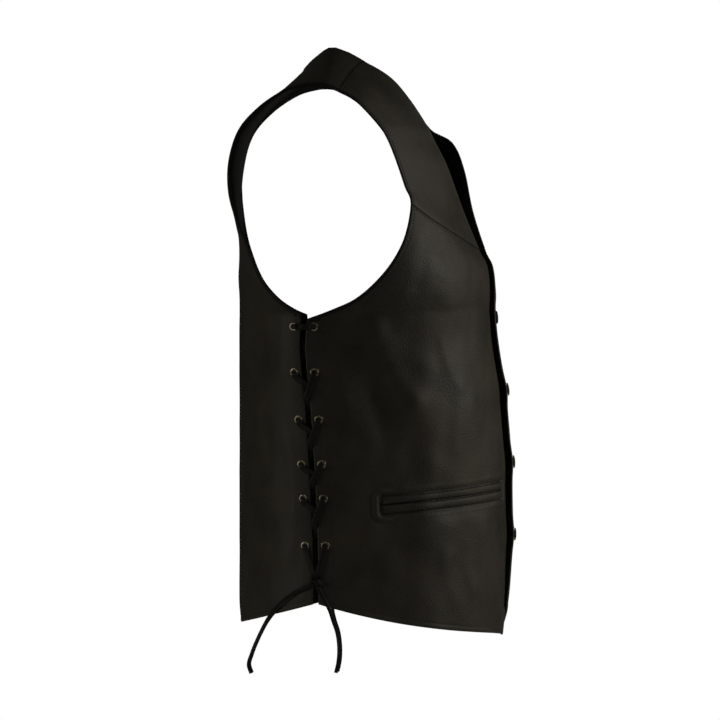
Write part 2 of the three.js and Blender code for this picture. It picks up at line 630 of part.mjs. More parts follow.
// Adds the knots of the route through one eyelet, from the inside out or from the outside in.
function throughEyelet(route, spot, arrive, leave, outwards) {
  const sign = outwards ? 1 : -1;
  const middle = arrive.clone().add(leave).normalize();
  const place = (slide, direction, height, heading) => ({
    point: spot.point.clone().addScaledVector(direction, slide).addScaledVector(spot.normal, height),
    normal: spot.normal.clone(),
    heading: heading.clone(),
  });
  route.push(place(-LACE_REACH, arrive, -sign * LACE_HIGH, arrive));
  route.push(place(-LACE_TURN, arrive, -sign * (LACE_HIGH + LACE_HUMP), arrive));
  route.push(place(0, arrive, -sign * FLANGE_EDGE, middle));
  route.push(place(0, arrive, sign * FLANGE_EDGE, middle));
  route.push(place(LACE_TURN, leave, sign * (LACE_HIGH + LACE_HUMP), leave));
  route.push(place(LACE_REACH, leave, sign * LACE_HIGH, leave));
}

// One knot of the route between the two lacing edges: share 0 is on the back's eyelet, 1 on the front's.
function betweenEdges(half, level, share, drop, height, heading) {
  const spots = ["back", "front"].map((piece) => {
    const column = eyelets[half + piece];
    const from = column[level];
    const to = column[Math.min(level + 1, column.length - 1)];
    return {
      point: from.point.clone().lerp(to.point, drop),
      normal: from.normal.clone().lerp(to.normal, drop),
    };
  });
  const normal = spots[0].normal.clone().lerp(spots[1].normal, share).normalize();
  const point = spots[0].point.clone().lerp(spots[1].point, share);
  return { point: point.addScaledVector(normal, height), normal, heading: heading.clone() };
}

const across = (half, level, from) => {
  const to = from === "back" ? "front" : "back";
  return eyelets[half + to][level].point.clone().sub(eyelets[half + from][level].point).normalize();
};
const gapDirection = (half, level) => {
  const sum = new THREE.Vector3();
  for (const piece of ["back", "front"]) {
    sum.add(eyelets[half + piece][level + 1].point).sub(eyelets[half + piece][level].point);
  }
  return sum.normalize();
};
const downwards = (half, level, from, other) => {
  const end = eyelets[half + other][level + 1].point;
  return end.clone().sub(eyelets[half + from][level].point).normalize();
};

// Middle of the lacing gap at the knot's height
function knotCentre(half) {
  const back = facetSpot(half, "back", 1, KNOT_HEIGHT).point;
  const front = facetSpot(half, "front", 1, KNOT_HEIGHT).point;
  const out = new THREE.Vector3(half === "left" ? 1 : -1, 0, 0);
  return back.lerp(front, 0.5).addScaledVector(out, WALL / 2 + SEAM_GAP + KNOT_RADII[0] + 0.2);
}

// Share of the drop between two pairs at which a strand starts to dive through the gap
const EARLY_DIVE = 0.27;
const LATE_DIVE = 0.56;

// Half of the lace, from the middle of the top bar down to the knot. The first strand dives through the
// gap above the second one, so that they pass each other on either side of the leather.
function strandRoute(half, start) {
  const other = { back: "front", front: "back" };
  const first = start === "back";
  const route = [];
  const bar = across(half, 0, start).negate();
  route.push(betweenEdges(half, 0, 0.5, 0, LACE_HIGH + LACE_EASE, bar));
  let at = start;
  let arrive = bar;
  for (let level = 0; level < EYELET_HEIGHTS.length; level += 1) {
    const spot = eyelets[half + at][level];
    const lastLevel = level === EYELET_HEIGHTS.length - 1;
    const to = other[at];
    const leave = lastLevel
      ? knotCentre(half).sub(spot.point).setX(0).normalize()
      : downwards(half, level, at, to);
    throughEyelet(route, spot, arrive, leave, level > 0);
    if (lastLevel) break;
    if (level === 0) {
      const depth = -LACE_HIGH - (first ? 0 : LACE_THICKNESS + 0.6);
      route.push(betweenEdges(half, level, 0.5, 0.5, depth, leave));
    } else {
      const early = (level + (first ? 0 : 1)) % 2 === 0;
      const dive = early ? EARLY_DIVE : LATE_DIVE;
      const high = LACE_HIGH + (early ? LACE_EASE : 2 * LACE_EASE);
      const low = -LACE_HIGH - (early ? LACE_EASE : 0);
      const down = gapDirection(half, level);
      route.push(betweenEdges(half, level, 0.5, dive - 0.02, high, down));
      route.push(betweenEdges(half, level, 0.5, dive + 0.09, 0, down));
      route.push(betweenEdges(half, level, 0.5, dive + 0.2, low, down));
    }
    arrive = leave;
    at = to;
  }
  return { route, at };
}

for (const half of halves) {
  const centre = knotCentre(half);
  const strands = ["back", "front"].map((start) => {
    const { route } = strandRoute(half, start);
    const last = route[route.length - 1];
    const reach = centre.clone().sub(last.point);
    const free = reach.length() - KNOT_RADII[1] - SEAM_GAP;
    const end = last.point.clone().addScaledVector(reach.normalize(), Math.max(free, 1));
    route.push({ point: end, normal: last.normal.clone(), heading: last.heading.clone() });
    return route;
  });
  const whole = [...strands[0].reverse(), ...strands[1].slice(1)];
  strands[0].forEach((knot) => knot.heading.negate());
  addMesh("lace_" + half, thongGeometry(whole, LACE_STEPS), LACE_LEATHER);

  const knot = new THREE.SphereGeometry(1, KNOT_SIDES, KNOT_SIDES / 2);
  knot.scale(...KNOT_RADII);
  knot.translate(centre.x, centre.y, centre.z);
  addMesh("lace_knot_" + half, knot, LACE_LEATHER);

  for (const [end, points] of Object.entries(TAIL_ROUTES)) {
    const outwards = half === "left" ? 1 : -1;
    const hanging = points.map(([y, z, x]) => {
      const share = half === "left" ? THREE.MathUtils.smoothstep(-z, -LEFT_TAIL_TOP, -LEFT_TAIL_BOTTOM) : 0;
      return new THREE.Vector3(outwards * x, y + share * LEFT_TAIL_SHIFT, z - share * LEFT_TAIL_DROP);
    });
    const way = hanging[0].clone().sub(centre).normalize();
    const reach = 1 / Math.hypot(...KNOT_RADII.map((radius, axis) => way.getComponent(axis) / radius));
    const start = centre.clone().addScaledVector(way, reach + 2 * SEAM_GAP);
    const path = new THREE.CatmullRomCurve3([start, ...hanging]);
    const outline = new THREE.Shape();
    outline.absellipse(0, 0, LACE_THICKNESS / 2, LACE_WIDTH / 2, 0, 2 * Math.PI);
    const settings = {
      steps: TAIL_STEPS, curveSegments: TAIL_SIDES / 2, extrudePath: path, bevelEnabled: false,
    };
    addMesh("lace_end_" + end + "_" + half, new THREE.ExtrudeGeometry(outline, settings), LACE_LEATHER);
  }
}

export default group;
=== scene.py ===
"""Looks of a side-laced leather vest: thin shells with creases and stitching, eyelets, thongs and snaps.

The tables below are in millimetres, as on a maker's pattern. Meshes are scaled to metres when they are made.
"""

import math

import bpy
import numpy as np
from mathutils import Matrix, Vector


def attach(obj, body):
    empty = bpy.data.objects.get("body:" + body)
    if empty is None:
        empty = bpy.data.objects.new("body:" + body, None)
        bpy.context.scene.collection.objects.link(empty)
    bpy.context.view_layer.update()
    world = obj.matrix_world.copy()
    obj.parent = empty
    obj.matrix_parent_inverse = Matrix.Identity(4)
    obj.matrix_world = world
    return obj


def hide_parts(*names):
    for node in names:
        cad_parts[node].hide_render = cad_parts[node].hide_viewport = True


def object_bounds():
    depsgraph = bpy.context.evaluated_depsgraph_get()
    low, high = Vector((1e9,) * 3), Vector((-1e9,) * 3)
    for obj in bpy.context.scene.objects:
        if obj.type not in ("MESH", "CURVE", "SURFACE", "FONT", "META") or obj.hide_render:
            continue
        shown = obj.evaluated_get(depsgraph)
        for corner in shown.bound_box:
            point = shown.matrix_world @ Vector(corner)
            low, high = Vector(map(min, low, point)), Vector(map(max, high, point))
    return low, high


MM = 0.001

# Leather and its edges
WALL = 2.0
SEAM_GAP = 0.04
EDGE_ROUND = 1.1
TURN_WIDTH = 9.0
TURN_EXTRA = 0.8
TOPSTITCH = 6.0
SEAM_TOPSTITCH = 2.6
FACING_STITCH = 18.0
FACING_WIDTH = 21.0
RUBBED_WIDTH = 0.9
# Width of the band of painted shade along the armholes' rims
ARMHOLE_SHADE_WIDTH = 4.2
GROOVE_DEPTH = 0.35
GROOVE_WIDTH = 0.9
# Distances from an edge at which the grid has lines, for its rounding, its stitched groove and its turned hem
EDGE_LINES = np.array([0, 0.12, 0.45, 1.1, 2.0, 2.6, 3.4, 5.2, 6.0, 6.8, 8.4, 9.6])

# The left front's lower corner, which rides up over the right one
LEFT_CORNER_RISE = 32
LEFT_CORNER_FADE = 120
LEFT_CORNER_SHARE = 0.3

# Pocket welts
POCKET_SHARES = (0.159, 0.797)
POCKET_Z = (-483.5, -501.5)
POCKET_REACH = 102.0
UPPER_WELT = 8.0
LOWER_WELT = 9.0
WELT_SLIT = 1.6
WELT_RISE = 1.9
WELT_SINK = 0.2
WELT_STOPS = 60
WELT_ROWS = 11
# Distance from the welts to the stitched groove round them
FRAME_MARGIN = 2.2
SLIT_DEPTH = 0.9
GAP_SHADE = 0.8
# The pocket's contents push the leather out below it
BULGE_DROP = 26
BULGE_HEIGHT = 11
BULGE_LENGTH = 42
BULGE_RISE = 1.2

# Lacing
EYELET_HEIGHTS = (-298, -350, -404, -455, -494, -548)
EYELET_INSET = 8.5
PUNCH_REACH = 6.0
EYELET_BORE = 2.7
EYELET_BARREL = 3.0
EYELET_FLANGE = 4.9
EYELET_SIDES = 28
FLANGE_THICKNESS = 0.6
LACE_WIDTH = 4.4
# The lacing is this much wider where it is out of the eyelets
LACE_SPREAD = 2.2
# Distances from an eyelet's middle between which the lacing widens
PINCH_REACH = (2.6, 5.2)
LACE_THICKNESS = 1.6
LACE_EASE = 0.5
CLEARANCE = 0.3
LACE_HIGH = WALL / 2 + 2 * CLEARANCE + FLANGE_THICKNESS + LACE_THICKNESS / 2 + LACE_EASE
LACE_TURN = 1.7
LACE_HUMP = 0.5
LACE_REACH = 6.5
FLANGE_EDGE = 1.6
EARLY_DIVE = 0.27
LATE_DIVE = 0.56
KNOT_HEIGHT = -590
SEARCH_STEPS = 22
KNOT_RADII = (3.6, 8.5, 5.2)

# Snaps
SNAP_HEIGHTS = (-287, -370, -453, -536)
CAP_RADIUS = 7.5
CAP_RISE = 2.4
SWELL_RISE = 2.2
SWELL_WIDTH = 34.0
SWELL_LENGTH = 17.0
SNAP_HOLE = 2.3

# Sections of the wearer's right half, from the front hem over the shoulder to the back hem.
# in: the point on the centre front, neckline or centre back. out: the point on the lacing edge or armhole.
# in_across to out_deep place the two handles of the section's curve, as shares of its span in X and Y.
# bow_y and bow_z push both handles out, and out_drop moves the outer one along Z. ahead moves the left half's
# inner edge forwards, and astern its outer edge backwards. turn names the edge that turns sharply at a row.
SECTION_COLUMNS = ("name", "turn", "in_x", "in_y", "in_z", "out_x", "out_y", "out_z", "in_across", "in_deep",
                   "out_across", "out_deep", "bow_y", "bow_z", "out_drop", "ahead", "astern")
SECTION_ROWS = (
    ("front hem", "none", 15, -203, -652, -186, 0, -615, 0.56, -0.03, 0.03, 0.62, 0, -6, -20, 6, 0),
    ("front skirt", "none", 15, -206, -619, -186, 0, -599, 0.56, -0.03, 0.03, 0.62, 0, -4, -12, 6, 0),
    ("front pocket", "none", 15, -208, -549, -184, 1, -542, 0.56, -0.03, 0.03, 0.64, 0, -2, -2, 6.5, 0),
    ("front waist", "none", 15, -207, -468, -183, 4, -474, 0.56, -0.03, 0.03, 0.64, 0, 0, 0, 7, 0),
    ("front ribs", "none", 15, -201, -382, -185, 9, -393, 0.56, -0.03, 0.03, 0.64, 0, 0, 0, 7, 0),
    ("front chest", "none", 15, -191, -307, -188, 15, -324, 0.56, -0.03, 0.03, 0.66, 0, 0, 0, 6.5, 4),
    ("front armpit", "outer", 15, -189, -276, -189, 13, -289, 0.56, -0.03, 0.03, 0.68, 0, 0, 0, 6, 9),
    ("front scye 1", "none", 15, -190, -262, -189, -14, -279, 0.55, -0.03, 0.04, 0.65, 0, 0, 0, 5.5, 7),
    ("front scye 2", "none", 15, -190, -248, -187, -45, -264, 0.53, -0.03, 0.06, 0.61, 0, 0, 0, 5, 4),
    ("front scye 3", "none", 14, -189, -237, -181, -77, -233, 0.50, -0.03, 0.10, 0.55, 0, -2, 0, 5, 1),
    ("front scye 4", "none", 12, -186, -226, -172, -97, -198, 0.46, -0.02, 0.16, 0.50, 0, -6, 0, 5.5, 0),
    ("yoke seam", "none", 2, -178, -212, -165, -105, -158, 0.42, 0.06, 0.22, 0.46, 0, -10, 0, 6.5, 0),
    ("strap 1", "none", -27, -160, -166, -165, -98, -136, 0.38, 0.16, 0.26, 0.42, 0, -7, 0, 9, 0),
    ("strap 2", "none", -54, -142, -114, -169, -86, -101, 0.36, 0.20, 0.30, 0.40, 0, -2, 0, 15, 0),
    ("strap 2 notch", "mesh", -64, -128, -85, -172, -77, -80, 0.35, 0.22, 0.31, 0.39, 0, 0, 0, 15, 0),
    ("strap 3", "none", -70, -122, -72, -175, -69, -68, 0.35, 0.24, 0.32, 0.38, 0, 2, 0, -2, 0),
    ("strap 4", "none", -78, -100, -38, -181, -48, -45, 0.34, 0.28, 0.33, 0.36, 0, 5, 0, -4, 0),
    ("strap 5", "none", -82, -76, -12, -184, -36, -36, 0.33, 0.30, 0.33, 0.35, 0, 5, 0, -2, 0),
    ("shoulder seam", "none", -84, -46, 6, -186, -22, -29, 0.33, 0.33, 0.33, 0.33, 0, 4, 0, 0, 0),
    ("shoulder top", "none", -86, -13, 22, -186, -11, -24, 0.33, 0.33, 0.33, 0.33, 0, 3, 0, 0, 0),
    ("back neck 1", "none", -70, 6, 12, -186, -3, -22, 0.33, 0.33, 0.33, 0.33, 1, 4, 0, 0, 0),
    ("back neck 2", "none", -40, 20, 0, -186, 6, -21, 0.34, 0.33, 0.32, 0.33, 2, 4, 0, 0, 0),
    ("back neck 3", "inner", 0, 25, -5, -185, 17, -22, 0.36, 0.33, 0.30, 0.33, 1, 3, 0, 0, 0),
    ("shoulder blade 1", "none", 0, 46, -25, -184, 38, -28, 0.38, 0.20, 0.27, 0.33, 0, 0, 0, 0, 0),
    ("shoulder blade 2", "none", 0, 67, -47, -182, 67, -47, 0.40, 0.10, 0.25, 0.33, 0, 0, 0, 0, 0),
    ("shoulder blade 3", "none", 0, 84, -76, -180, 91, -74, 0.42, 0.05, 0.22, 0.33, 4, 0, 0, 0, 0),
    ("back scye 1", "none", 0, 93, -110, -179, 102, -109, 0.43, 0.0, 0.20, 0.33, 5, 0, 0, 0, 0),
    ("back scye 2", "none", 0, 97, -146, -179, 102, -146, 0.44, 0.0, 0.18, 0.40, 4, 0, 0, 0, 3),
    ("back scye 3", "none", 0, 96, -181, -181, 91, -183, 0.46, 0.0, 0.15, 0.55, 2, 0, 0, 0, 9),
    ("back scye 4", "none", 0, 96, -209, -183, 79, -210, 0.48, 0.0, 0.11, 0.60, 0, 0, 0, 0, 14),
    ("back scye 5", "none", 0, 97, -240, -185, 64, -243, 0.50, 0.0, 0.08, 0.62, 0, 0, 0, 0, 15),
    ("back scye 6", "none", 0, 97, -263, -187, 46, -265, 0.52, 0.0, 0.05, 0.62, 0, 0, 0, 0, 14),
    ("back scye 7", "none", 0, 97, -276, -188, 30, -277, 0.54, 0.0, 0.03, 0.62, 0, 0, 0, 0, 12),
    ("back armpit", "outer", 0, 97, -288, -189, 19, -283, 0.56, 0.0, 0.03, 0.62, 0, 0, 0, 0, 9),
    ("back chest", "none", 0, 97, -319, -188, 21, -324, 0.56, 0.0, 0.03, 0.62, 0, 0, 0, 0, 4),
    ("back ribs", "none", 0, 97, -382, -185, 15, -393, 0.56, 0.0, 0.03, 0.62, 0, 0, 0, 0, 0),
    ("back waist", "none", 0, 97, -468, -183, 10, -474, 0.56, 0.0, 0.03, 0.62, 0, 0, 0, 0, 0),
    ("back hips", "none", 0, 97, -549, -184, 7, -542, 0.56, 0.0, 0.03, 0.62, 0, -1, 0, 0, 0),
    ("back skirt", "none", 0, 97, -612, -186, 6, -599, 0.56, 0.0, 0.03, 0.62, 0, -5, 0, 0, 0),
    ("back hem", "none", 0, 95, -637, -186, 6, -615, 0.56, 0.0, 0.03, 0.62, 0, -7, 0, 0, 0),
)

# Largest soft hollows and swells, each along a line; a depth below zero is a swell.
# Their ends are a share of the section's curve and a height; bend bows the line sideways at its middle.
FOLD_COLUMNS = ("half", "piece", "u0", "z0", "u1", "z1", "bend", "width", "depth")
FOLD_ROWS = (
    ("right", "front", 0.84, -335, 0.74, -435, 0, 26, 4.5),
    ("right", "front", 0.50, -290, 0.46, -400, 0, 30, -2.5),
    ("right", "front", 0.61, -345, 0.62, -450, 0, 24, -3.5),
    ("right", "front", 0.66, -538, 0.38, -528, 0, 20, -2.0),
    ("left", "front", 0.83, -340, 0.74, -425, 0, 26, 4.0),
    ("left", "front", 0.52, -300, 0.47, -395, 0, 30, -2.2),
    ("left", "front", 0.60, -350, 0.62, -440, 0, 24, -3.0),
    ("left", "front", 0.64, -545, 0.38, -532, 0, 20, -2.0),
    ("right", "back", 0.62, -335, 0.30, -395, 0, 28, 3.5),
    ("left", "back", 0.60, -350, 0.26, -390, 0, 28, 3.0),
    ("right", "back", 0.55, -520, 0.20, -560, 0, 28, 2.5),
    ("left", "back", 0.62, -500, 0.24, -548, 0, 28, 2.5),
)
# Creases finer than the folds
CREASE_ROWS = (
    ("right", "front", 0.78, -300, 0.665, -385, 7, 14, -2.4),
    ("right", "front", 0.665, -385, 0.74, -452, 7, 14, -2.4),
    ("right", "front", 0.78, -350, 0.77, -430, 5, 13, 1.6),
    ("right", "front", 0.895, -380, 0.89, -428, 0, 6, -0.8),
    ("right", "front", 0.62, -530, 0.59, -645, 5, 24, -2.4),
    ("right", "front", 0.76, -530, 0.74, -640, -6, 20, 1.5),
    ("right", "back", 0.80, -300, 0.70, -360, 5, 12, 0.9),
    ("right", "back", 0.86, -430, 0.84, -560, 4, 10, -0.8),
    ("right", "back", 0.60, -380, 0.66, -470, 6, 12, 0.8),
    ("left", "back", 0.82, -310, 0.68, -352, -5, 12, 0.9),
    ("left", "back", 0.70, -420, 0.74, -520, 6, 11, 0.8),
    ("right", "back", 0.50, -140, 0.36, -230, 10, 16, 1.2),
    ("left", "back", 0.48, -150, 0.40, -236, -10, 16, 1.1),
    ("right", "front", 0.56, -560, 0.50, -610, 6, 10, -0.8),
    ("right", "front", 0.50, -572, 0.44, -616, -6, 9, 0.7),
    ("right", "front", 0.44, -548, 0.40, -600, 5, 9, -0.7),
    ("right", "front", 0.38, -575, 0.36, -622, -5, 9, 0.6),
    ("right", "front", 0.52, -316, 0.45, -366, 6, 8, -0.8),
    ("right", "front", 0.46, -392, 0.49, -440, 5, 9, -0.7),
    ("left", "front", 0.84, -318, 0.68, -350, 8, 7, 1.0),
    ("left", "front", 0.80, -362, 0.63, -392, 7, 8, 0.8),
    ("left", "front", 0.54, -330, 0.47, -372, 6, 8, -0.7),
)
# Length of a section's curve that one unit of u stands for in the tables of folds
SPAN = {"front": 320, "back": 225}
FOLD_FADE = 0.2
FOLD_STOPS = 9

# Free ends of each lace after its start on the knot: Y, Z and the distance from the middle plane
TAIL_ROUTES = {
    "back": ((14, -595, 189.5), (27, -601, 185), (40, -610, 179), (51, -621, 170), (60, -634, 163),
             (67, -647, 160), (73, -660, 159), (78, -673, 158.5), (81, -684, 158.5), (78, -694, 159)),
    "front": ((-3, -603, 190), (-8, -612, 189.8), (-13, -622, 189), (-17, -634, 188), (-21, -646, 187.5),
              (-23, -658, 187.3), (-23.5, -670, 187.5), (-22.5, -682, 188), (-20, -693, 189)),
}

# The left lace's ends hang this much further back and lower, reached gradually between two heights
LEFT_TAIL_SHIFT = 13
LEFT_TAIL_DROP = 4
LEFT_TAIL_TOP = -598
LEFT_TAIL_BOTTOM = -628

HALVES = ("right", "left")
OUTWARDS = {"right": -1, "left": 1}


def smoothstep(value, low, high):
    t = np.clip((value - low) / (high - low), 0, 1)
    return t * t * (3 - 2 * t)


def unit(vectors):
    return vectors / np.maximum(np.linalg.norm(vectors, axis=-1, keepdims=True), 1e-9)


def hump(distance, width):
    """A soft hump, 1 at no distance and fading over a width."""
    return np.exp(-((distance / width) ** 2))


# Sections of the body

TABLE = np.array([row[2:] for row in SECTION_ROWS], float)
NAMES = [row[0] for row in SECTION_ROWS]
# A sharp turn of an edge is gone at this share of the section's curve away from it
TURN_FADE = 0.3
EDGE_COLUMNS = {
    "inner": ("in_x", "in_y", "in_z", "in_across", "in_deep", "ahead"),
    "outer": ("out_x", "out_y", "out_z", "out_across", "out_deep", "out_drop", "astern"),
}


def station_list():
    """Each section's station: the mean distance travelled along the two edges."""
    inner = np.linalg.norm(np.diff(TABLE[:, 0:3], axis=0), axis=1)
    outer = np.linalg.norm(np.diff(TABLE[:, 3:6], axis=0), axis=1)
    return np.concatenate([[0], np.cumsum((inner + outer) / 2)])


STATIONS = station_list()


def station_of(name):
    return STATIONS[NAMES.index(name)]


def slope_between(low, high):
    return (TABLE[high] - TABLE[low]) / (STATIONS[high] - STATIONS[low])


def slopes():
    """Slopes of the columns at each row: smooth ones, and those just before and after a sharp turn."""
    last = len(STATIONS) - 1
    smooth = np.zeros_like(TABLE)
    for index in range(last + 1):
        low, high = max(index - 1, 0), min(index + 1, last)
        smooth[index] = slope_between(low, high)
    before, after = smooth.copy(), smooth.copy()
    for index, row in enumerate(SECTION_ROWS):
        sharp = [name in EDGE_COLUMNS.get(row[1], ()) for name in SECTION_COLUMNS[2:]]
        if any(sharp):
            after[index, sharp] = slope_between(index, index + 1)[sharp]
            before[index, sharp] = slope_between(index - 1, index)[sharp]
    return smooth, before, after


SLOPE_SMOOTH, SLOPE_BEFORE, SLOPE_AFTER = slopes()


def sharpness(u):
    """How far each column keeps its sharp turns at shares u: fully on its own edge, and less away from it."""
    inner = 1 - smoothstep(u, 0, TURN_FADE)
    outer = smoothstep(u, 1 - TURN_FADE, 1)
    weights = {"inner": inner, "outer": outer}
    shares = [np.zeros(np.shape(u)) for _ in SECTION_COLUMNS[2:]]
    for edge, names in EDGE_COLUMNS.items():
        for name in names:
            shares[SECTION_COLUMNS.index(name) - 2] = weights[edge]
    return np.stack(shares, -1)


def section_at(station, u):
    """All columns of the section at any station, by cubic steps between the table's rows."""
    index = np.clip(np.searchsorted(STATIONS, station, side="right") - 1, 0, len(STATIONS) - 2)
    length = (STATIONS[index + 1] - STATIONS[index])[..., None]
    t = np.clip((station[..., None] - STATIONS[index][..., None]) / length, 0, 1)
    start, end = TABLE[index], TABLE[index + 1]
    share = sharpness(u)
    slope_start = SLOPE_SMOOTH[index] + (SLOPE_AFTER[index] - SLOPE_SMOOTH[index]) * share
    slope_end = SLOPE_SMOOTH[index + 1] + (SLOPE_BEFORE[index + 1] - SLOPE_SMOOTH[index + 1]) * share
    return (start * (1 + 2 * t) * (1 - t) ** 2 + slope_start * length * t * (1 - t) ** 2
            + end * t * t * (3 - 2 * t) - slope_end * length * t * t * (1 - t))


def form_points(half, u, station):
    """Points of the half vest without folds; u runs from the inner edge to the outer."""
    u, station = np.broadcast_arrays(np.asarray(u, float), np.asarray(station, float))
    row = section_at(station, u)
    start, end = row[..., 0:3], row[..., 3:6]
    span = end - start
    shape = np.moveaxis(row[..., 6:], -1, 0)
    in_across, in_deep, out_across, out_deep, bow_y, bow_z, out_drop, ahead, astern = shape
    x, y, z = np.moveaxis(span, -1, 0)
    first = start + np.stack([in_across * x, in_deep * y + bow_y, z / 3 + bow_z], -1)
    second = end - np.stack([out_across * x, out_deep * y - bow_y, z / 3 - bow_z - out_drop], -1)
    t = u[..., None]
    points = (start * (1 - t) ** 3 + 3 * first * t * (1 - t) ** 2
              + 3 * second * t * t * (1 - t) + end * t ** 3)
    if half == "left":
        points[..., 0] *= -1
        points[..., 1] -= ahead * (1 - smoothstep(u, 0.12, 0.6))
        points[..., 1] += astern * smoothstep(u, 0.4, 1)
        lift = (1 - smoothstep(u, 0, LEFT_CORNER_SHARE)) * (1 - smoothstep(station, 0, LEFT_CORNER_FADE))
        points[..., 2] += LEFT_CORNER_RISE * lift
    return points


def normals_of(points_at, half, u, station):
    """Outward normals of a point function, by small steps along u and the station."""
    u, station = np.broadcast_arrays(np.asarray(u, float), np.asarray(station, float))
    u_low, u_high = np.maximum(u - 0.01, 0), np.minimum(u + 0.01, 1)
    s_low, s_high = np.maximum(station - 1.5, 0), np.minimum(station + 1.5, STATIONS[-1])
    across = points_at(half, u_high, station) - points_at(half, u_low, station)
    along = points_at(half, u, s_high) - points_at(half, u, s_low)
    normal = unit(np.cross(along, across))
    return -normal if half == "left" else normal


def fold_line(row):
    """Stops along a fold's bowed line, in millimetres of the section's curve and of height."""
    fold = dict(zip(FOLD_COLUMNS, row))
    span = SPAN[fold["piece"]]
    start = np.array([fold["u0"] * span, fold["z0"]], float)
    end = np.array([fold["u1"] * span, fold["z1"]], float)
    share = np.linspace(0, 1, FOLD_STOPS)[:, None]
    side = np.array([-(end - start)[1], (end - start)[0]]) / np.linalg.norm(end - start)
    return start + (end - start) * share + side * fold["bend"] * 4 * share * (1 - share)


FOLD_LINES = {row: fold_line(row) for row in (*FOLD_ROWS, *CREASE_ROWS)}


def line_distance(points, stops):
    """Shortest distance from each point to a line of stops, in two or three dimensions."""
    nearest = np.full(points.shape[:-1], np.inf)
    for start, end in zip(stops[:-1], stops[1:]):
        step = end - start
        share = np.clip((points - start) @ step / (step @ step), 0, 1)
        nearest = np.minimum(nearest, np.linalg.norm(points - start - share[..., None] * step, axis=-1))
    return nearest


def fold_depth(rows, half, u, station, z):
    """Depth of all folds of a table at places on one half; it fades towards the centre."""
    depth = np.zeros(np.broadcast(u, z).shape)
    on_front = station < station_of("shoulder seam")
    for piece in ("front", "back"):
        flat = np.stack(np.broadcast_arrays(np.asarray(u) * SPAN[piece], z), -1)
        here = on_front if piece == "front" else np.logical_not(on_front)
        for row in rows:
            if row[0] != half or row[1] != piece:
                continue
            distance = line_distance(flat, FOLD_LINES[row])
            depth += here * row[-1] * hump(distance, row[-2])
    return depth * smoothstep(u, 0, FOLD_FADE)


# Slight waves of the worn leather
WAVE_SEEDS = {"right": 11, "left": 23}
WAVE_COUNT = 26
WAVE_LENGTHS = (24, 95)
WAVE_STEEPNESS = 0.0019
# A section's curve is about this much longer than its span
CURVE_EXCESS = 1.15
# The share of the waves that straps and lacing edges lose
WAVE_DAMPING = 0.75


def unevenness(half, u, station, z):
    """Slight waves of worn leather, the sum of a few plane waves of fixed random direction and length."""
    random = np.random.default_rng(WAVE_SEEDS[half])
    total = np.zeros(np.broadcast(u, z).shape)
    widths = np.linalg.norm(TABLE[:, 3:6] - TABLE[:, 0:3], axis=1)
    across = np.asarray(u) * np.interp(station, STATIONS, widths) * CURVE_EXCESS
    for _ in range(WAVE_COUNT):
        turn = random.uniform(0, math.pi)
        length = random.uniform(*WAVE_LENGTHS)
        phase = random.uniform(0, 2 * math.pi)
        wave = 2 * math.pi / length
        way = across * math.cos(turn) + z * math.sin(turn)
        total += WAVE_STEEPNESS * length * np.sin(wave * way + phase)
    strap = smoothstep(station, station_of("front scye 3"), station_of("strap 1"))
    strap = strap * (1 - smoothstep(station, station_of("shoulder top"), station_of("back scye 1")))
    edges = smoothstep(u, 0, FOLD_FADE) * (1 - WAVE_DAMPING * smoothstep(u, 0.86, 0.95))
    return total * edges * (1 - WAVE_DAMPING * strap)


def skin_points(half, u, station):
    """Points on the middle of the leather, with the largest folds."""
    points = form_points(half, u, station)
    depth = fold_depth(FOLD_ROWS, half, u, station, points[..., 2])
    return points - normals_of(form_points, half, u, station) * depth[..., None]


# Grids over the panels

FAR = 99.0


def spread(total, stops, counts):
    """Distances along one line: the lines near each edge, and even steps between the stops."""
    end = total - EDGE_LINES[::-1]
    marks = [EDGE_LINES[-1], *stops, end[0]]
    parts = [EDGE_LINES]
    for low, high, count in zip(marks[:-1], marks[1:], counts):
        parts.append(np.linspace(low, high, count + 1)[1:])
    return np.concatenate([*parts, end[1:]])


def lengths_along(points):
    """Distance travelled along the last axis but one of a list of points."""
    steps = np.linalg.norm(np.diff(points, axis=-2), axis=-1)
    return np.concatenate([np.zeros(steps.shape[:-1] + (1,)), np.cumsum(steps, axis=-1)], axis=-1)


def panel_grid(half, first, last, stops, row_counts, column_count):
    """u and station of a grid's points; its lines are even, and close together near the edges."""
    shares = np.linspace(0, 1, 31)
    fine = np.unique(np.concatenate([np.linspace(first, last, 240), stops]))
    lengths = lengths_along(np.swapaxes(form_points(half, shares[None, :], fine[:, None]), 0, 1))
    rows = []
    for line in lengths:
        marks = np.interp(stops, fine, line)
        rows.append(np.interp(spread(line[-1], marks, row_counts), line, fine))
    rows = np.array(rows)
    fine_u = np.linspace(0, 1, 161)
    middle = rows[len(shares) // 2]
    lengths = lengths_along(form_points(half, fine_u[None, :], middle[:, None]))
    u = np.array([np.interp(spread(line[-1], [], [column_count]), line, fine_u) for line in lengths])
    station = np.array([np.interp(u[index], shares, rows[:, index]) for index in range(len(u))])
    return u, station


def groove_at(distance, line):
    return GROOVE_DEPTH * hump(distance - line, GROOVE_WIDTH)


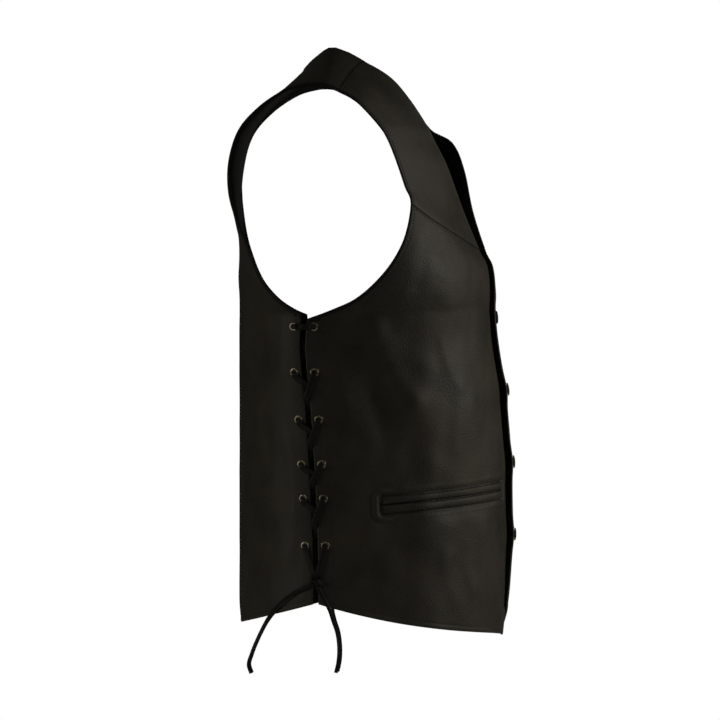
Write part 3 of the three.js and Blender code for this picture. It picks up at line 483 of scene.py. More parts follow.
def edge_profile(turned, lacing, seam):
    """Outer and inner offsets of the leather's faces from its middle, by the distances to its edges."""
    nearest = np.minimum(np.minimum(turned, lacing), seam)
    rounding = np.sqrt(np.clip(1 - (1 - np.clip(nearest / EDGE_ROUND, 0, 1)) ** 2, 0, 1))
    groove = groove_at(turned, TOPSTITCH) + groove_at(lacing, FACING_STITCH) + groove_at(seam, SEAM_TOPSTITCH)
    hem = np.minimum(turned, seam)
    turn = np.maximum(1 - smoothstep(hem, TURN_WIDTH - 1, TURN_WIDTH + 0.6),
                      1 - smoothstep(lacing, FACING_WIDTH - 1, FACING_WIDTH + 0.6))
    swell = 0.3 * hump(turned - 3.0, 2.4)
    outer = (WALL / 2 + swell) * rounding - groove
    inner = (WALL / 2 + TURN_EXTRA * turn) * rounding
    return outer, inner


def pocket_place(u, z):
    """Distances from a pocket: along it from its middle, up from its slit, and outside its two welts."""
    share = (u - POCKET_SHARES[0]) / (POCKET_SHARES[1] - POCKET_SHARES[0])
    slit = POCKET_Z[0] + (POCKET_Z[1] - POCKET_Z[0]) * np.clip(share, 0, 1)
    along = (share - 0.5) * 2 * POCKET_REACH
    up = z - slit
    middle = up + (LOWER_WELT - UPPER_WELT) / 2
    half_height = (UPPER_WELT + LOWER_WELT + WELT_SLIT) / 2
    beyond = (np.abs(along) - POCKET_REACH, np.abs(middle) - half_height)
    outside = np.hypot(*(np.maximum(part, 0) for part in beyond))
    return along, up, outside


def pocket_frame_depth(u, z):
    """Puckers round a pocket: its slit, a stitched groove round both welts, and the swell outside them."""
    along, up, outside = pocket_place(u, z)
    ends = smoothstep(np.abs(along), POCKET_REACH * 0.86, POCKET_REACH)
    past = outside - FRAME_MARGIN
    depth = (0.9 + 0.9 * ends) * hump(past, 1.6)
    depth -= (0.3 + 1.8 * ends) * hump(past - 4.6, 2.4)
    depth += 0.9 * ends * hump(past - 9.5, 2.6)
    bulge = hump(up + BULGE_DROP, BULGE_HEIGHT) * hump(along, BULGE_LENGTH)
    return depth * (outside > 0) - BULGE_RISE * bulge + SLIT_DEPTH * pocket_shade(u, z)


def pocket_shade(u, z):
    """1 in a pocket's slit, nearly as much in the thin gap round its welts, and 0 elsewhere; it sinks the
    slit and sets the painted shade there.
    """
    along, up, outside = pocket_place(u, z)
    slit = 1 - smoothstep(np.abs(up), 0.7, 1.9)
    slit = slit * (1 - smoothstep(np.abs(along), POCKET_REACH, POCKET_REACH + 2))
    return np.maximum(slit, GAP_SHADE * hump(outside - 0.9, 0.9) * (outside > 0))


def snap_swell(u, z):
    """Height of the leather's soft bumps over the snaps down the front edge."""
    across = hump(np.asarray(u) * SPAN["front"], SWELL_WIDTH)
    along = sum(hump(z - height, SWELL_LENGTH) for height in SNAP_HEIGHTS[1:])
    return SWELL_RISE * across * along


def soft_depth(half, piece, u, station, z):
    """Depth of the creases, the waves of worn leather and the bumps over the snaps."""
    depth = fold_depth(CREASE_ROWS, half, u, station, z) + unevenness(half, u, station, z)
    return depth - snap_swell(u, z) if piece == "front" else depth


def fine_depth(half, piece, u, station, z):
    """Depth of everything finer than the largest folds."""
    depth = soft_depth(half, piece, u, station, z)
    return depth + pocket_frame_depth(u, z) if piece == "front" else depth


def rim_of(u, station, neck):
    """True on the grid's points that lie on the panel's edge; below the neck the centre line isn't one."""
    rim = np.zeros(u.shape, bool)
    rim[0], rim[-1], rim[:, -1] = True, True, True
    rim[:, 0] |= station[:, 0] <= neck + 1e-3
    return rim


def edge_distance(points, curves):
    """Distance from each point to the nearest of some curves, or FAR where there are none."""
    distances = [line_distance(points, curve) for curve in curves]
    return np.min([np.full(points.shape[:-1], FAR), *distances], axis=0)


def panel_points(half, u, station, edges, piece, neck):
    """Outer and inner faces of one half of a panel, with how rubbed each point is and how much painted shade
    it gets.
    """
    form = form_points(half, u, station)
    normal = normals_of(form_points, half, u, station)
    rim = rim_of(u, station, neck)
    normal[~rim[:, 0], 0, 0] = 0
    normal = unit(normal)
    z = form[..., 2]
    depth = fold_depth(FOLD_ROWS, half, u, station, z)
    skin = form - normal * depth[..., None]
    distances = [edge_distance(skin, edges[kind]) for kind in ("turned", "lacing", "seam")]
    nearest = np.argmin(distances, axis=0)
    for kind, distance in enumerate(distances):
        distance[rim & (nearest == kind)] = 0
    skin = skin - normal * fine_depth(half, piece, u, station, z)[..., None]
    outer, inner = edge_profile(*distances)
    rubbed = 1 - np.clip(np.minimum(distances[0], distances[1]) / RUBBED_WIDTH, 0, 1)
    # Painted shade: a dark band along each armhole's rim
    armhole = edge_distance(skin, edges["armhole"])
    shaded = 1 - smoothstep(armhole, ARMHOLE_SHADE_WIDTH - 0.8, ARMHOLE_SHADE_WIDTH + 0.8)
    # Painted shade: a thin dark line in the seams between panels
    shaded = np.maximum(shaded, 1 - smoothstep(distances[2], 0.6, 1.5))
    # Painted shade in the pockets' slit and in the gap round their welts
    if piece == "front":
        shaded = np.maximum(shaded, GAP_SHADE * pocket_shade(u, z))
    return skin + normal * outer[..., None], skin - normal * inner[..., None], [rubbed, shaded]


def grid_faces(rows, columns, offset, turned):
    """Quads over a grid of points, facing the other way when turned."""
    index = np.arange(rows * columns).reshape(rows, columns) + offset
    corners = [index[:-1, :-1], index[1:, :-1], index[1:, 1:], index[:-1, 1:]]
    if turned:
        corners.reverse()
    return np.stack([corner.ravel() for corner in corners], -1)


def make_mesh(name, points, faces, materials, face_material=None):
    """A smooth mesh object from points in millimetres, which rides on the part and takes a slot's material.
    """
    mesh = bpy.data.meshes.new(name)
    mesh.from_pydata((np.asarray(points) * MM).tolist(), [], [list(face) for face in faces])
    for material in materials:
        mesh.materials.append(material)
    if face_material is not None:
        mesh.polygons.foreach_set("material_index", face_material)
    mesh.polygons.foreach_set("use_smooth", [True] * len(mesh.polygons))
    mesh.update()
    piece = bpy.data.objects.new(name, mesh)
    bpy.context.scene.collection.objects.link(piece)
    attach(piece, "root")
    return piece


def merged(points, faces, extra):
    """The same mesh with coincident points joined; extra values follow the points that stay."""
    keys = np.round(points * 400).astype(np.int64)
    _, first, inverse = np.unique(keys, axis=0, return_index=True, return_inverse=True)
    return points[first], inverse.reshape(-1)[faces], [values[first] for values in extra]


def panel(name, halves, first, last, stops, row_counts, column_count, edges, piece, replaced, neck=math.inf):
    """Closed shell of one leather panel over one or both halves."""
    points, faces, sides, values = [], [], [], [[], []]
    offset = 0
    for half in halves:
        u, station = panel_grid(half, first, last, stops, row_counts, column_count)
        outer, inner, rubbed_and_painted_shade = panel_points(half, u, station, edges[half], piece, neck)
        for side, face in enumerate((outer, inner)):
            rows, columns = u.shape
            points.append(face.reshape(-1, 3))
            faces.append(grid_faces(rows, columns, offset, (half == "left") != (side == 1)))
            sides.append(np.full(len(faces[-1]), side))
            for kept, value in zip(values, rubbed_and_painted_shade):
                kept.append(value.ravel())
            offset += rows * columns
    points, faces, sides = np.concatenate(points), np.concatenate(faces), np.concatenate(sides)
    points, faces, values = merged(points, faces, [np.concatenate(value) for value in values])
    shell = make_mesh(name, points, faces, [LEATHER, LEATHER_INSIDE], sides)
    for label, value in zip(("rubbed", "shaded"), values):
        attribute = shell.data.attributes.new(label, "FLOAT", "POINT")
        attribute.data.foreach_set("value", value.astype(np.float32))
    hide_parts(replaced)
    return shell


def punch(shell, spots, radius):
    """Cuts round holes through a panel at spots of point and normal."""
    rod = [(0, -PUNCH_REACH), (radius, -PUNCH_REACH), (radius, PUNCH_REACH), (0, PUNCH_REACH)]
    points, faces = [], []
    for point, normal in spots:
        rod_points, rod_faces = turned_shape(rod, point, normal, 24)
        faces.append(rod_faces[:, ::-1] + sum(len(part) for part in points))
        points.append(rod_points)
    points, faces, _ = merged(np.concatenate(points), np.concatenate(faces), [])
    mesh = bpy.data.meshes.new("punch")
    mesh.from_pydata((points * MM).tolist(), [], [list(dict.fromkeys(face)) for face in faces.tolist()])
    tool = bpy.data.objects.new("punch", mesh)
    bpy.context.scene.collection.objects.link(tool)
    cut = shell.modifiers.new("holes", "BOOLEAN")
    cut.operation = "DIFFERENCE"
    cut.solver = "MANIFOLD"
    cut.object = tool
    solid = shell.evaluated_get(bpy.context.evaluated_depsgraph_get())
    shell.data = bpy.data.meshes.new_from_object(solid)
    shell.modifiers.clear()
    bpy.data.objects.remove(tool)
    shell.data.name = shell.name


# Stitching

STITCH_PITCH = 3.6
# Reach along a stitch, height over its groove and radius at each of its rings
STITCH_RINGS = ((-1.45, -0.35, 0.12), (-1.2, 0.02, 0.30), (-0.5, 0.2, 0.38),
                (0.5, 0.2, 0.38), (1.2, 0.02, 0.30), (1.45, -0.35, 0.12))
STITCH_SIDES = 6


def inset_line(half, edge, u, station, inset):
    """Shares and stations of a line that keeps one distance from a panel's edge, along the leather."""
    points = skin_points(half, u, station)
    tangent = unit(np.gradient(points, axis=0))
    steps = {"inner": (0.01, 0), "outer": (-0.01, 0), "first": (0, 1.0), "last": (0, -1.0)}[edge]
    inward = skin_points(half, u + steps[0], station + steps[1]) - points
    inward = unit(inward - tangent * np.sum(inward * tangent, axis=1, keepdims=True))
    target = points + inward * inset
    for _ in range(3):
        here = skin_points(half, u, station)
        low, high = np.maximum(station - 0.5, 0), np.minimum(station + 0.5, STATIONS[-1])
        by_u = (skin_points(half, u + 0.002, station) - skin_points(half, u - 0.002, station)) / 0.004
        by_station = (skin_points(half, u, high) - skin_points(half, u, low)) / (high - low)[:, None]
        move = np.linalg.pinv(np.stack([by_u, by_station], -1)) @ (target - here)[..., None]
        u, station = u + move[:, 0, 0], station + move[:, 1, 0]
    return u, station


def surface(half, piece, u, station):
    """Points of a panel's outer face with all its creases, and their normals."""
    form = form_points(half, u, station)
    normal = normals_of(form_points, half, u, station)
    z = form[..., 2]
    depth = fold_depth(FOLD_ROWS, half, u, station, z) + fine_depth(half, piece, u, station, z)
    return form + normal * (WALL / 2 - depth)[..., None], normal


def stitch_shapes(line, normals):
    """Points and faces of a row of stitches along a line on the leather."""
    travelled = lengths_along(line)
    places = np.arange(STITCH_PITCH, travelled[-1] - STITCH_PITCH, STITCH_PITCH)
    if len(places) < 2:
        return np.zeros((0, 3)), np.zeros((0, 4), int)
    centres = np.stack([np.interp(places, travelled, column) for column in line.T], -1)
    up = unit(np.stack([np.interp(places, travelled, column) for column in normals.T], -1))
    along = unit(np.gradient(centres, axis=0))
    side = unit(np.cross(up, along))
    along = np.cross(side, up) + side * 0.08
    turns = np.linspace(0, 2 * np.pi, STITCH_SIDES, endpoint=False)
    rings = []
    for reach, height, radius in STITCH_RINGS:
        for turn in turns:
            rings.append(centres + along * reach + side * (radius * math.cos(turn))
                         + up * (height - GROOVE_DEPTH + 0.75 * radius * math.sin(turn)))
    points = np.stack(rings, 1)
    index = np.arange(len(STITCH_RINGS) * STITCH_SIDES).reshape(-1, STITCH_SIDES)
    after = np.roll(index, -1, axis=1)
    faces = np.stack([index[:-1], index[1:], after[1:], after[:-1]], -1).reshape(-1, 4)
    caps = np.array([[index[0, 0], index[0, 1], index[0, 2], index[0, 3]],
                     [index[0, 0], index[0, 3], index[0, 4], index[0, 5]],
                     [index[-1, 3], index[-1, 2], index[-1, 1], index[-1, 0]],
                     [index[-1, 5], index[-1, 4], index[-1, 3], index[-1, 0]]])
    faces = np.concatenate([faces, caps])
    offsets = np.arange(len(points)) * points.shape[1]
    return points.reshape(-1, 3), (faces[None] + offsets[:, None, None]).reshape(-1, 4)


def make_stitches(name, piece, lines):
    """All stitches of a panel; a line is its half, edge, shares, stations and distance from the edge."""
    points, faces = [], []
    for half, edge, u, station, inset in lines:
        u, station = inset_line(half, edge, u, station, inset)
        line, normals = surface(half, piece, u, station)
        row_points, row_faces = stitch_shapes(line, normals)
        faces.append(row_faces + sum(len(part) for part in points))
        points.append(row_points)
    return make_mesh(name, np.concatenate(points), np.concatenate(faces), [THREAD])


# Materials

def new_material(name, roughness, metallic=0.0):
    """A material with its node tree, its shader and the object's own coordinates."""
    material = bpy.data.materials.new(name)
    material.use_nodes = True
    tree = material.node_tree
    shader = tree.nodes["Principled BSDF"]
    shader.inputs["Roughness"].default_value = roughness
    shader.inputs["Metallic"].default_value = metallic
    return material, tree, shader, add_node(tree, "ShaderNodeTexCoord").outputs["Object"]


def add_node(tree, kind, inputs=None, **settings):
    """A shader node; inputs may be numbers or the outputs of other nodes."""
    node = tree.nodes.new(kind)
    for key, value in settings.items():
        setattr(node, key, value)
    for key, value in (inputs or {}).items():
        if isinstance(value, bpy.types.NodeSocket):
            tree.links.new(value, node.inputs[key])
        else:
            node.inputs[key].default_value = value
    return node


def paint(tree, shader, value, stops):
    """Colours a shader by a value, through stops of a position and a colour."""
    ramp = add_node(tree, "ShaderNodeValToRGB", {"Fac": value})
    elements = ramp.color_ramp.elements
    for element, (position, colour) in zip(elements, (stops[0], stops[-1])):
        element.position = position
        element.color = (*colour, 1)
    for position, colour in stops[1:-1]:
        elements.new(position).color = (*colour, 1)
    tree.links.new(ramp.outputs["Color"], shader.inputs["Base Color"])


def bump_up(tree, shader, height, strength, distance):
    """Gives a shader small relief from a height."""
    bump = add_node(tree, "ShaderNodeBump", {"Height": height, "Strength": strength, "Distance": distance})
    tree.links.new(bump.outputs["Normal"], shader.inputs["Normal"])


def leather_material(name, dark, light, roughness, grain):
    """Matt cowhide: pebbled grain, fine creases and a cloudy worn tone, lighter where rubbed, and darker
    where the shaded attribute paints shade.
    """
    material, tree, shader, place = new_material(name, roughness)
    shader.inputs["Specular IOR Level"].default_value = 0.26
    cloud = add_node(tree, "ShaderNodeTexNoise",
                     {"Vector": place, "Scale": 15.0, "Detail": 5.0, "Roughness": 0.62}).outputs["Fac"]
    pebble = add_node(tree, "ShaderNodeTexVoronoi", {"Vector": place, "Scale": 620.0}, feature="F1")
    crack = add_node(tree, "ShaderNodeTexNoise",
                     {"Vector": place, "Scale": 170.0, "Detail": 6.0, "Roughness": 0.7}).outputs["Fac"]
    rubbed = add_node(tree, "ShaderNodeAttribute", attribute_name="rubbed").outputs["Fac"]
    shaded = add_node(tree, "ShaderNodeAttribute", attribute_name="shaded").outputs["Fac"]
    # Rubbed edges turn lighter in patches; the shaded attribute is painted shade, darkening down to the
    # darkest stop
    patchy = add_node(tree, "ShaderNodeMath", {0: rubbed, 1: crack}, operation="MULTIPLY")
    wear_and_painted_shade = add_node(tree, "ShaderNodeMath", {0: patchy.outputs[0], 1: shaded}, operation="SUBTRACT")
    shade = add_node(tree, "ShaderNodeMath", {0: cloud, 1: wear_and_painted_shade.outputs[0]}, operation="ADD")
    darkest = tuple(0.25 * part for part in dark)
    paint(tree, shader, shade.outputs[0], ((0.0, darkest), (0.28, dark), (0.85, light)))
    gloss = add_node(tree, "ShaderNodeMapRange", {"Value": cloud, "From Min": 0.3, "From Max": 0.7,
                                                 "To Min": roughness - 0.07, "To Max": roughness + 0.08})
    tree.links.new(gloss.outputs["Result"], shader.inputs["Roughness"])
    height = add_node(tree, "ShaderNodeMath", {0: crack, 1: pebble.outputs["Distance"]}, operation="ADD")
    bump_up(tree, shader, height.outputs[0], grain, 0.0005)
    return material


def metal_material(name, dark, light, roughness, metallic):
    """Plated metal with a tarnish that gathers in patches."""
    material, tree, shader, place = new_material(name, roughness, metallic)
    cloud = add_node(tree, "ShaderNodeTexNoise", {"Vector": place, "Scale": 420.0, "Detail": 3.0})
    paint(tree, shader, cloud.outputs["Fac"], ((0.35, dark), (0.65, light)))
    bump_up(tree, shader, cloud.outputs["Fac"], 0.25, 0.0001)
    return material


def thread_material():
    """Waxed thread, twisted on the slant."""
    material, tree, shader, place = new_material("thread", 0.6)
    twist = add_node(tree, "ShaderNodeTexWave", {"Vector": place, "Scale": 900.0}, bands_direction="DIAGONAL")
    paint(tree, shader, twist.outputs["Fac"], ((0.0, (0.006, 0.006, 0.006)), (1.0, (0.022, 0.021, 0.02))))
    return material


# Camera and light

def aim_at(thing, target):
    thing.rotation_euler = (Vector(target) - thing.location).to_track_quat("-Z", "Y").to_euler()


CAMERA_TURN = math.radians(2.2)
CAMERA_DISTANCE = 24.0
FRAME_WIDTH = 0.828
CAMERA_TARGET = (0, -0.0403, -0.336)


def make_camera():
    data = bpy.data.cameras.new("camera")
    data.sensor_width = 36
    data.lens = data.sensor_width * CAMERA_DISTANCE / FRAME_WIDTH
    camera = bpy.data.objects.new("camera", data)
    bpy.context.scene.collection.objects.link(camera)
    back = Vector((-math.cos(CAMERA_TURN), -math.sin(CAMERA_TURN), 0))
    camera.location = Vector(CAMERA_TARGET) + back * CAMERA_DISTANCE
    aim_at(camera, CAMERA_TARGET)
    data.clip_end = 100
    bpy.context.scene.camera = camera


LIGHT_COLOUR = (1.0, 0.95, 0.84)
LIGHT_TARGET = (0, -0.05, -0.3)
LIGHT_COLUMNS = ("name", "x", "y", "z", "size", "watts")
LIGHT_ROWS = (
    ("front softbox", 0.05, -1.8, 0.2, 0.9, 13.6),
    ("overhead softbox", -0.8, -0.8, 2.4, 1.2, 0.5),
    ("back softbox", -1.6, 2.4, 0.2, 1.4, 16),
    ("side softbox", -3.2, 0.4, 0.6, 1.8, 2),
)


def make_lights():
    for row in LIGHT_ROWS:
        light = dict(zip(LIGHT_COLUMNS, row))
        data = bpy.data.lights.new(light["name"], "AREA")
        data.energy = light["watts"]
        data.size = light["size"]
        data.color = LIGHT_COLOUR
        lamp = bpy.data.objects.new(light["name"], data)
        bpy.context.scene.collection.objects.link(lamp)
        lamp.location = (light["x"], light["y"], light["z"])
        aim_at(lamp, LIGHT_TARGET)


def make_world():
    """White as a backdrop, and a soft grey for the light that it gives."""
    world = bpy.data.worlds.new("studio")
    bpy.context.scene.world = world
    world.use_nodes = True
    tree = world.node_tree
    tree.nodes.clear()
    glow = add_node(tree, "ShaderNodeBackground", {"Color": (1, 1, 1, 1), "Strength": 0.025})
    backdrop = add_node(tree, "ShaderNodeBackground", {"Color": (1, 1, 1, 1), "Strength": 1.0})
    path = add_node(tree, "ShaderNodeLightPath")
    mix = add_node(tree, "ShaderNodeMixShader", {0: path.outputs["Is Camera Ray"], 1: glow.outputs[0],
                                                2: backdrop.outputs[0]})
    add_node(tree, "ShaderNodeOutputWorld", {"Surface": mix.outputs[0]})


FLOOR_RADIUS = 1.25
FLOOR_DROP = 0.13
FLOOR_SIDES = 96


def make_floor(lowest):
    """A round sheet of pale paper below the vest."""
    turns = np.linspace(0, 2 * np.pi, FLOOR_SIDES, endpoint=False)
    points = np.stack([FLOOR_RADIUS * np.cos(turns), FLOOR_RADIUS * np.sin(turns),
                       np.full(FLOOR_SIDES, lowest - FLOOR_DROP)], -1)
    mesh = bpy.data.meshes.new("floor")
    mesh.from_pydata(points.tolist(), [], [list(range(FLOOR_SIDES))])
    material, tree, shader, place = new_material("floor paper", 0.9)
    cloud = add_node(tree, "ShaderNodeTexNoise", {"Vector": place, "Scale": 3.0})
    paint(tree, shader, cloud.outputs["Fac"], ((0.0, (0.80, 0.80, 0.79)), (1.0, (0.86, 0.86, 0.85))))
    mesh.materials.append(material)
    floor = bpy.data.objects.new("floor", mesh)
    bpy.context.scene.collection.objects.link(floor)


# Eyelets, laces and knots

def station_at(half, piece, u, z):
    """Stations of the lower part of a panel at shares u and heights z."""
    u, z = np.broadcast_arrays(np.asarray(u, float), np.asarray(z, float))
    if piece == "front":
        ends = (0.0, station_of("front scye 2"))
    else:
        ends = (STATIONS[-1], station_of("back scye 5"))
    low, high = np.full(u.shape, ends[0]), np.full(u.shape, ends[1])
    for _ in range(SEARCH_STEPS):
        middle = (low + high) / 2
        below = skin_points(half, u, middle)[..., 2] < z
        low = np.where(below, middle, low)
        high = np.where(below, high, middle)
    return low


def skin_spots(half, piece, u, z):
    """Points of the leather's middle at shares u and heights z, with their outward normals."""
    station = station_at(half, piece, u, z)
    return skin_points(half, u, station), normals_of(skin_points, half, u, station)


def eyelet_spots(half, piece):
    """Places of the eyelets, EYELET_INSET from the lacing edge, with their outward normals."""
    heights = np.array(EYELET_HEIGHTS, float)
    u = np.full(heights.shape, 0.97)
    edge = skin_spots(half, piece, 1.0, heights)[0]
    for _ in range(4):
        reach = np.linalg.norm(skin_spots(half, piece, u, heights)[0] - edge, axis=-1)
        u = 1 - (1 - u) * EYELET_INSET / reach
    return list(zip(*skin_spots(half, piece, u, heights)))


def turned_shape(profile, point, axis, sides):
    """Points and faces of a profile of radius and height turned round an axis through a point."""
    profile = np.asarray(profile, float)
    helper = np.array([0, 0, 1.0]) if abs(axis[2]) < 0.9 else np.array([1.0, 0, 0])
    side = unit(np.cross(axis, helper))
    other = np.cross(axis, side)
    turns = np.linspace(0, 2 * np.pi, sides, endpoint=False)
    ring = np.cos(turns)[:, None] * side + np.sin(turns)[:, None] * other
    points = point + ring[None] * profile[:, 0, None, None] + axis * profile[:, 1, None, None]
    count = len(profile)
    index = np.arange(count * sides).reshape(count, sides)
    after = np.roll(index, -1, axis=1)
    faces = np.stack([index[:-1], after[:-1], after[1:], index[1:]], -1).reshape(-1, 4)
    return points.reshape(-1, 3), faces


def make_turned(name, profile, spot, sides, material, replaced):
    """A piece turned round the normal of a spot, in place of one node."""
    points, faces = turned_shape(profile, *spot, sides)
    points, faces, _ = merged(points, faces, [])
    piece = make_mesh(name, points, faces[:, ::-1], [material])
    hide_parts(replaced)


def eyelet_profile():
    """Rolled rim of an eyelet over the leather, its barrel, and the same rim inside."""
    face = WALL / 2 + 0.05
    dome = [(EYELET_BORE + (EYELET_FLANGE - EYELET_BORE) * share,
             face + FLANGE_THICKNESS * (0.35 + 0.95 * math.sin(math.pi * (0.12 + 0.80 * share))))
            for share in np.linspace(0, 1, 9)]
    barrel_out = EYELET_BORE + 0.3
    upper = [*dome, (EYELET_FLANGE - 0.1, face - 0.1), (barrel_out, face - 0.1)]
    lower = [(radius, -height) for radius, height in reversed(upper)]
    return [*upper, *lower, upper[0]]


def smooth_route(points, per_step):
    """A smooth curve through points, with the steps between them weighed by their length."""
    points = np.asarray(points, float)
    knots = np.concatenate([[0], np.cumsum(np.linalg.norm(np.diff(points[:, :3], axis=0), axis=1) ** 0.5)])
    tangents = np.gradient(points, knots, axis=0)
    out = []
    for index in range(len(points) - 1):
        length = knots[index + 1] - knots[index]
        t = np.linspace(0, 1, per_step, endpoint=False)[:, None]
        out.append(points[index] * (1 + 2 * t) * (1 - t) ** 2 + tangents[index] * length * t * (1 - t) ** 2
                   + points[index + 1] * t * t * (3 - 2 * t) - tangents[index + 1] * length * t * t * (1 - t))
    return np.concatenate([*out, points[-1:]])


THONG_OUTLINE = ((1.0, 0.0), (0.94, 0.55), (0.78, 0.92), (0.4, 1.0), (0.0, 1.02), (-0.4, 1.0), (-0.78, 0.92),
                 (-0.94, 0.55), (-1.0, 0.0), (-0.94, -0.55), (-0.78, -0.92), (-0.4, -1.0), (0.0, -1.02),
                 (0.4, -1.0), (0.78, -0.92), (0.94, -0.55))


def thong_shape(route, widths, width=LACE_WIDTH, thickness=LACE_THICKNESS):
    """A flat thong along a route; widths gives the direction of its width at each point."""
    route = np.asarray(route, float)
    tangent = unit(np.gradient(route, axis=0))
    across = widths - tangent * np.sum(widths * tangent, axis=1, keepdims=True)
    across = unit(across)
    thick = np.cross(tangent, across)
    outline = np.array(THONG_OUTLINE)
    spread = np.broadcast_to(width, len(route))[:, None, None]
    points = (route[:, None] + across[:, None] * outline[None, :, :1] * spread / 2
              + thick[:, None] * outline[None, :, 1:] * thickness / 2)
    count, sides = len(route), len(outline)
    index = np.arange(count * sides).reshape(count, sides)
    after = np.roll(index, -1, axis=1)
    faces = np.stack([index[:-1], after[:-1], after[1:], index[1:]], -1).reshape(-1, 4).tolist()
    faces.append(index[0][::-1].tolist())
    faces.append(index[-1].tolist())
    return points.reshape(-1, 3), faces


def make_thong(name, knots, per_step, spots, replaced):
    """A thong through knots of point, normal and heading, pinched where it passes through the eyelets."""
    data = smooth_route(np.array([np.concatenate(knot) for knot in knots]), per_step)
    widths = np.cross(data[:, 3:6], data[:, 6:9])
    centres = np.array([point for piece in ("front", "back") for point, _ in spots[piece]])
    away = np.linalg.norm(data[:, None, :3] - centres[None], axis=-1).min(axis=1)
    width = LACE_WIDTH + LACE_SPREAD * smoothstep(away, *PINCH_REACH)
    points, faces = thong_shape(data[:, :3], widths, width)
    thong = make_mesh(name, points, faces, [THONG])
    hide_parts(replaced)


def through_eyelet(route, spot, arrive, leave, outwards):
    """Adds the knots of a lace's route through one eyelet."""
    point, normal = spot
    sign = 1 if outwards else -1
    middle = unit(arrive + leave)
    stops = ((-LACE_REACH, arrive, -sign * LACE_HIGH, arrive),
             (-LACE_TURN, arrive, -sign * (LACE_HIGH + LACE_HUMP), arrive),
             (0, arrive, -sign * FLANGE_EDGE, middle), (0, arrive, sign * FLANGE_EDGE, middle),
             (LACE_TURN, leave, sign * (LACE_HIGH + LACE_HUMP), leave),
             (LACE_REACH, leave, sign * LACE_HIGH, leave))
    for slide, direction, height, heading in stops:
        route.append((point + direction * slide + normal * height, normal, heading))


class Lacing:
    """One side's eyelets and the two strands of its lace."""

    def __init__(self, half):
        self.half = half
        self.spots = {piece: eyelet_spots(half, piece) for piece in ("front", "back")}
        out = np.array([OUTWARDS[half], 0, 0], float)
        edges = [skin_spots(half, piece, 1.0, KNOT_HEIGHT)[0] for piece in ("back", "front")]
        self.knot = (edges[0] + edges[1]) / 2 + out * (WALL / 2 + CLEARANCE + KNOT_RADII[0] + 0.2)

    def point(self, piece, level):
        return self.spots[piece][level][0]

    def between(self, level, share, drop, height, heading):
        """A knot of the route between the edges: share 0 is on the back's eyelet, and 1 on the front's."""
        below = min(level + 1, len(EYELET_HEIGHTS) - 1)
        ends = []
        for piece in ("back", "front"):
            start, stop = self.spots[piece][level], self.spots[piece][below]
            ends.append([start[part] + (stop[part] - start[part]) * drop for part in (0, 1)])
        point, normal = (ends[0][part] + (ends[1][part] - ends[0][part]) * share for part in (0, 1))
        normal = unit(normal)
        return point + normal * height, normal, heading

    def strand(self, start):
        """Half of the lace, from the middle of the top bar down to the knot."""
        other = {"back": "front", "front": "back"}
        first = start == "back"
        bar = unit(self.point(start, 0) - self.point(other[start], 0))
        route = [self.between(0, 0.5, 0, LACE_HIGH + LACE_EASE, bar)]
        at, arrive = start, bar
        last = len(EYELET_HEIGHTS) - 1
        for level in range(last + 1):
            to = other[at]
            if level == last:
                leave = self.knot - self.point(at, level)
                leave = unit(leave * np.array([0, 1, 1]))
            else:
                leave = unit(self.point(to, level + 1) - self.point(at, level))
            through_eyelet(route, self.spots[at][level], arrive, leave, level > 0)
            if level == last:
                break
            if level == 0:
                depth = -LACE_HIGH - (0 if first else LACE_THICKNESS + 0.6)
                route.append(self.between(level, 0.5, 0.5, depth, leave))
            else:
                early = (level + (0 if first else 1)) % 2 == 0
                dive = EARLY_DIVE if early else LATE_DIVE
                high = LACE_HIGH + (LACE_EASE if early else 2 * LACE_EASE)
                low = -LACE_HIGH - (LACE_EASE if early else 0)
                down = unit(sum(self.point(piece, level + 1) - self.point(piece, level) for piece in other))
                route.append(self.between(level, 0.5, dive - 0.02, high, down))
                route.append(self.between(level, 0.5, dive + 0.09, 0, down))
                route.append(self.between(level, 0.5, dive + 0.2, low, down))
            arrive, at = leave, to
        return route


KNOT_TURNS = 1.5
KNOT_COIL = 1.75
KNOT_REACH = 7.5
KNOT_TALL = 1.3


def make_knot(lacing):
    """Half knot: the two strands wind round each other one and a half times, and leave on the far sides."""
    out = np.array([OUTWARDS[lacing.half], 0, 0], float)
    shapes = []
    for side in (1, -1):
        share = np.linspace(0, 1, 40)
        turn = math.pi / 2 - 2 * math.pi * KNOT_TURNS * share
        ridge = KNOT_COIL * (1 + 0.15 * np.sin(math.pi * share))
        y = side * KNOT_REACH * (1 - 2 * share)
        offset = np.stack([out[0] * side * ridge * np.cos(turn), y, KNOT_TALL * ridge * np.sin(turn)], -1)
        widths = np.stack([-np.sin(turn) * side * out[0], 0 * y, np.cos(turn)], -1) + np.array([0, 0.9, 0])
        shapes.append(thong_shape(lacing.knot + offset, widths, LACE_WIDTH * 0.9))
    count = len(shapes[0][0])
    points = np.concatenate([shape[0] for shape in shapes])
    faces = shapes[0][1] + [[index + count for index in face] for face in shapes[1][1]]
    piece = make_mesh("thong_knot_" + lacing.half, points, faces, [THONG])
    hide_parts("lace_knot_" + lacing.half)


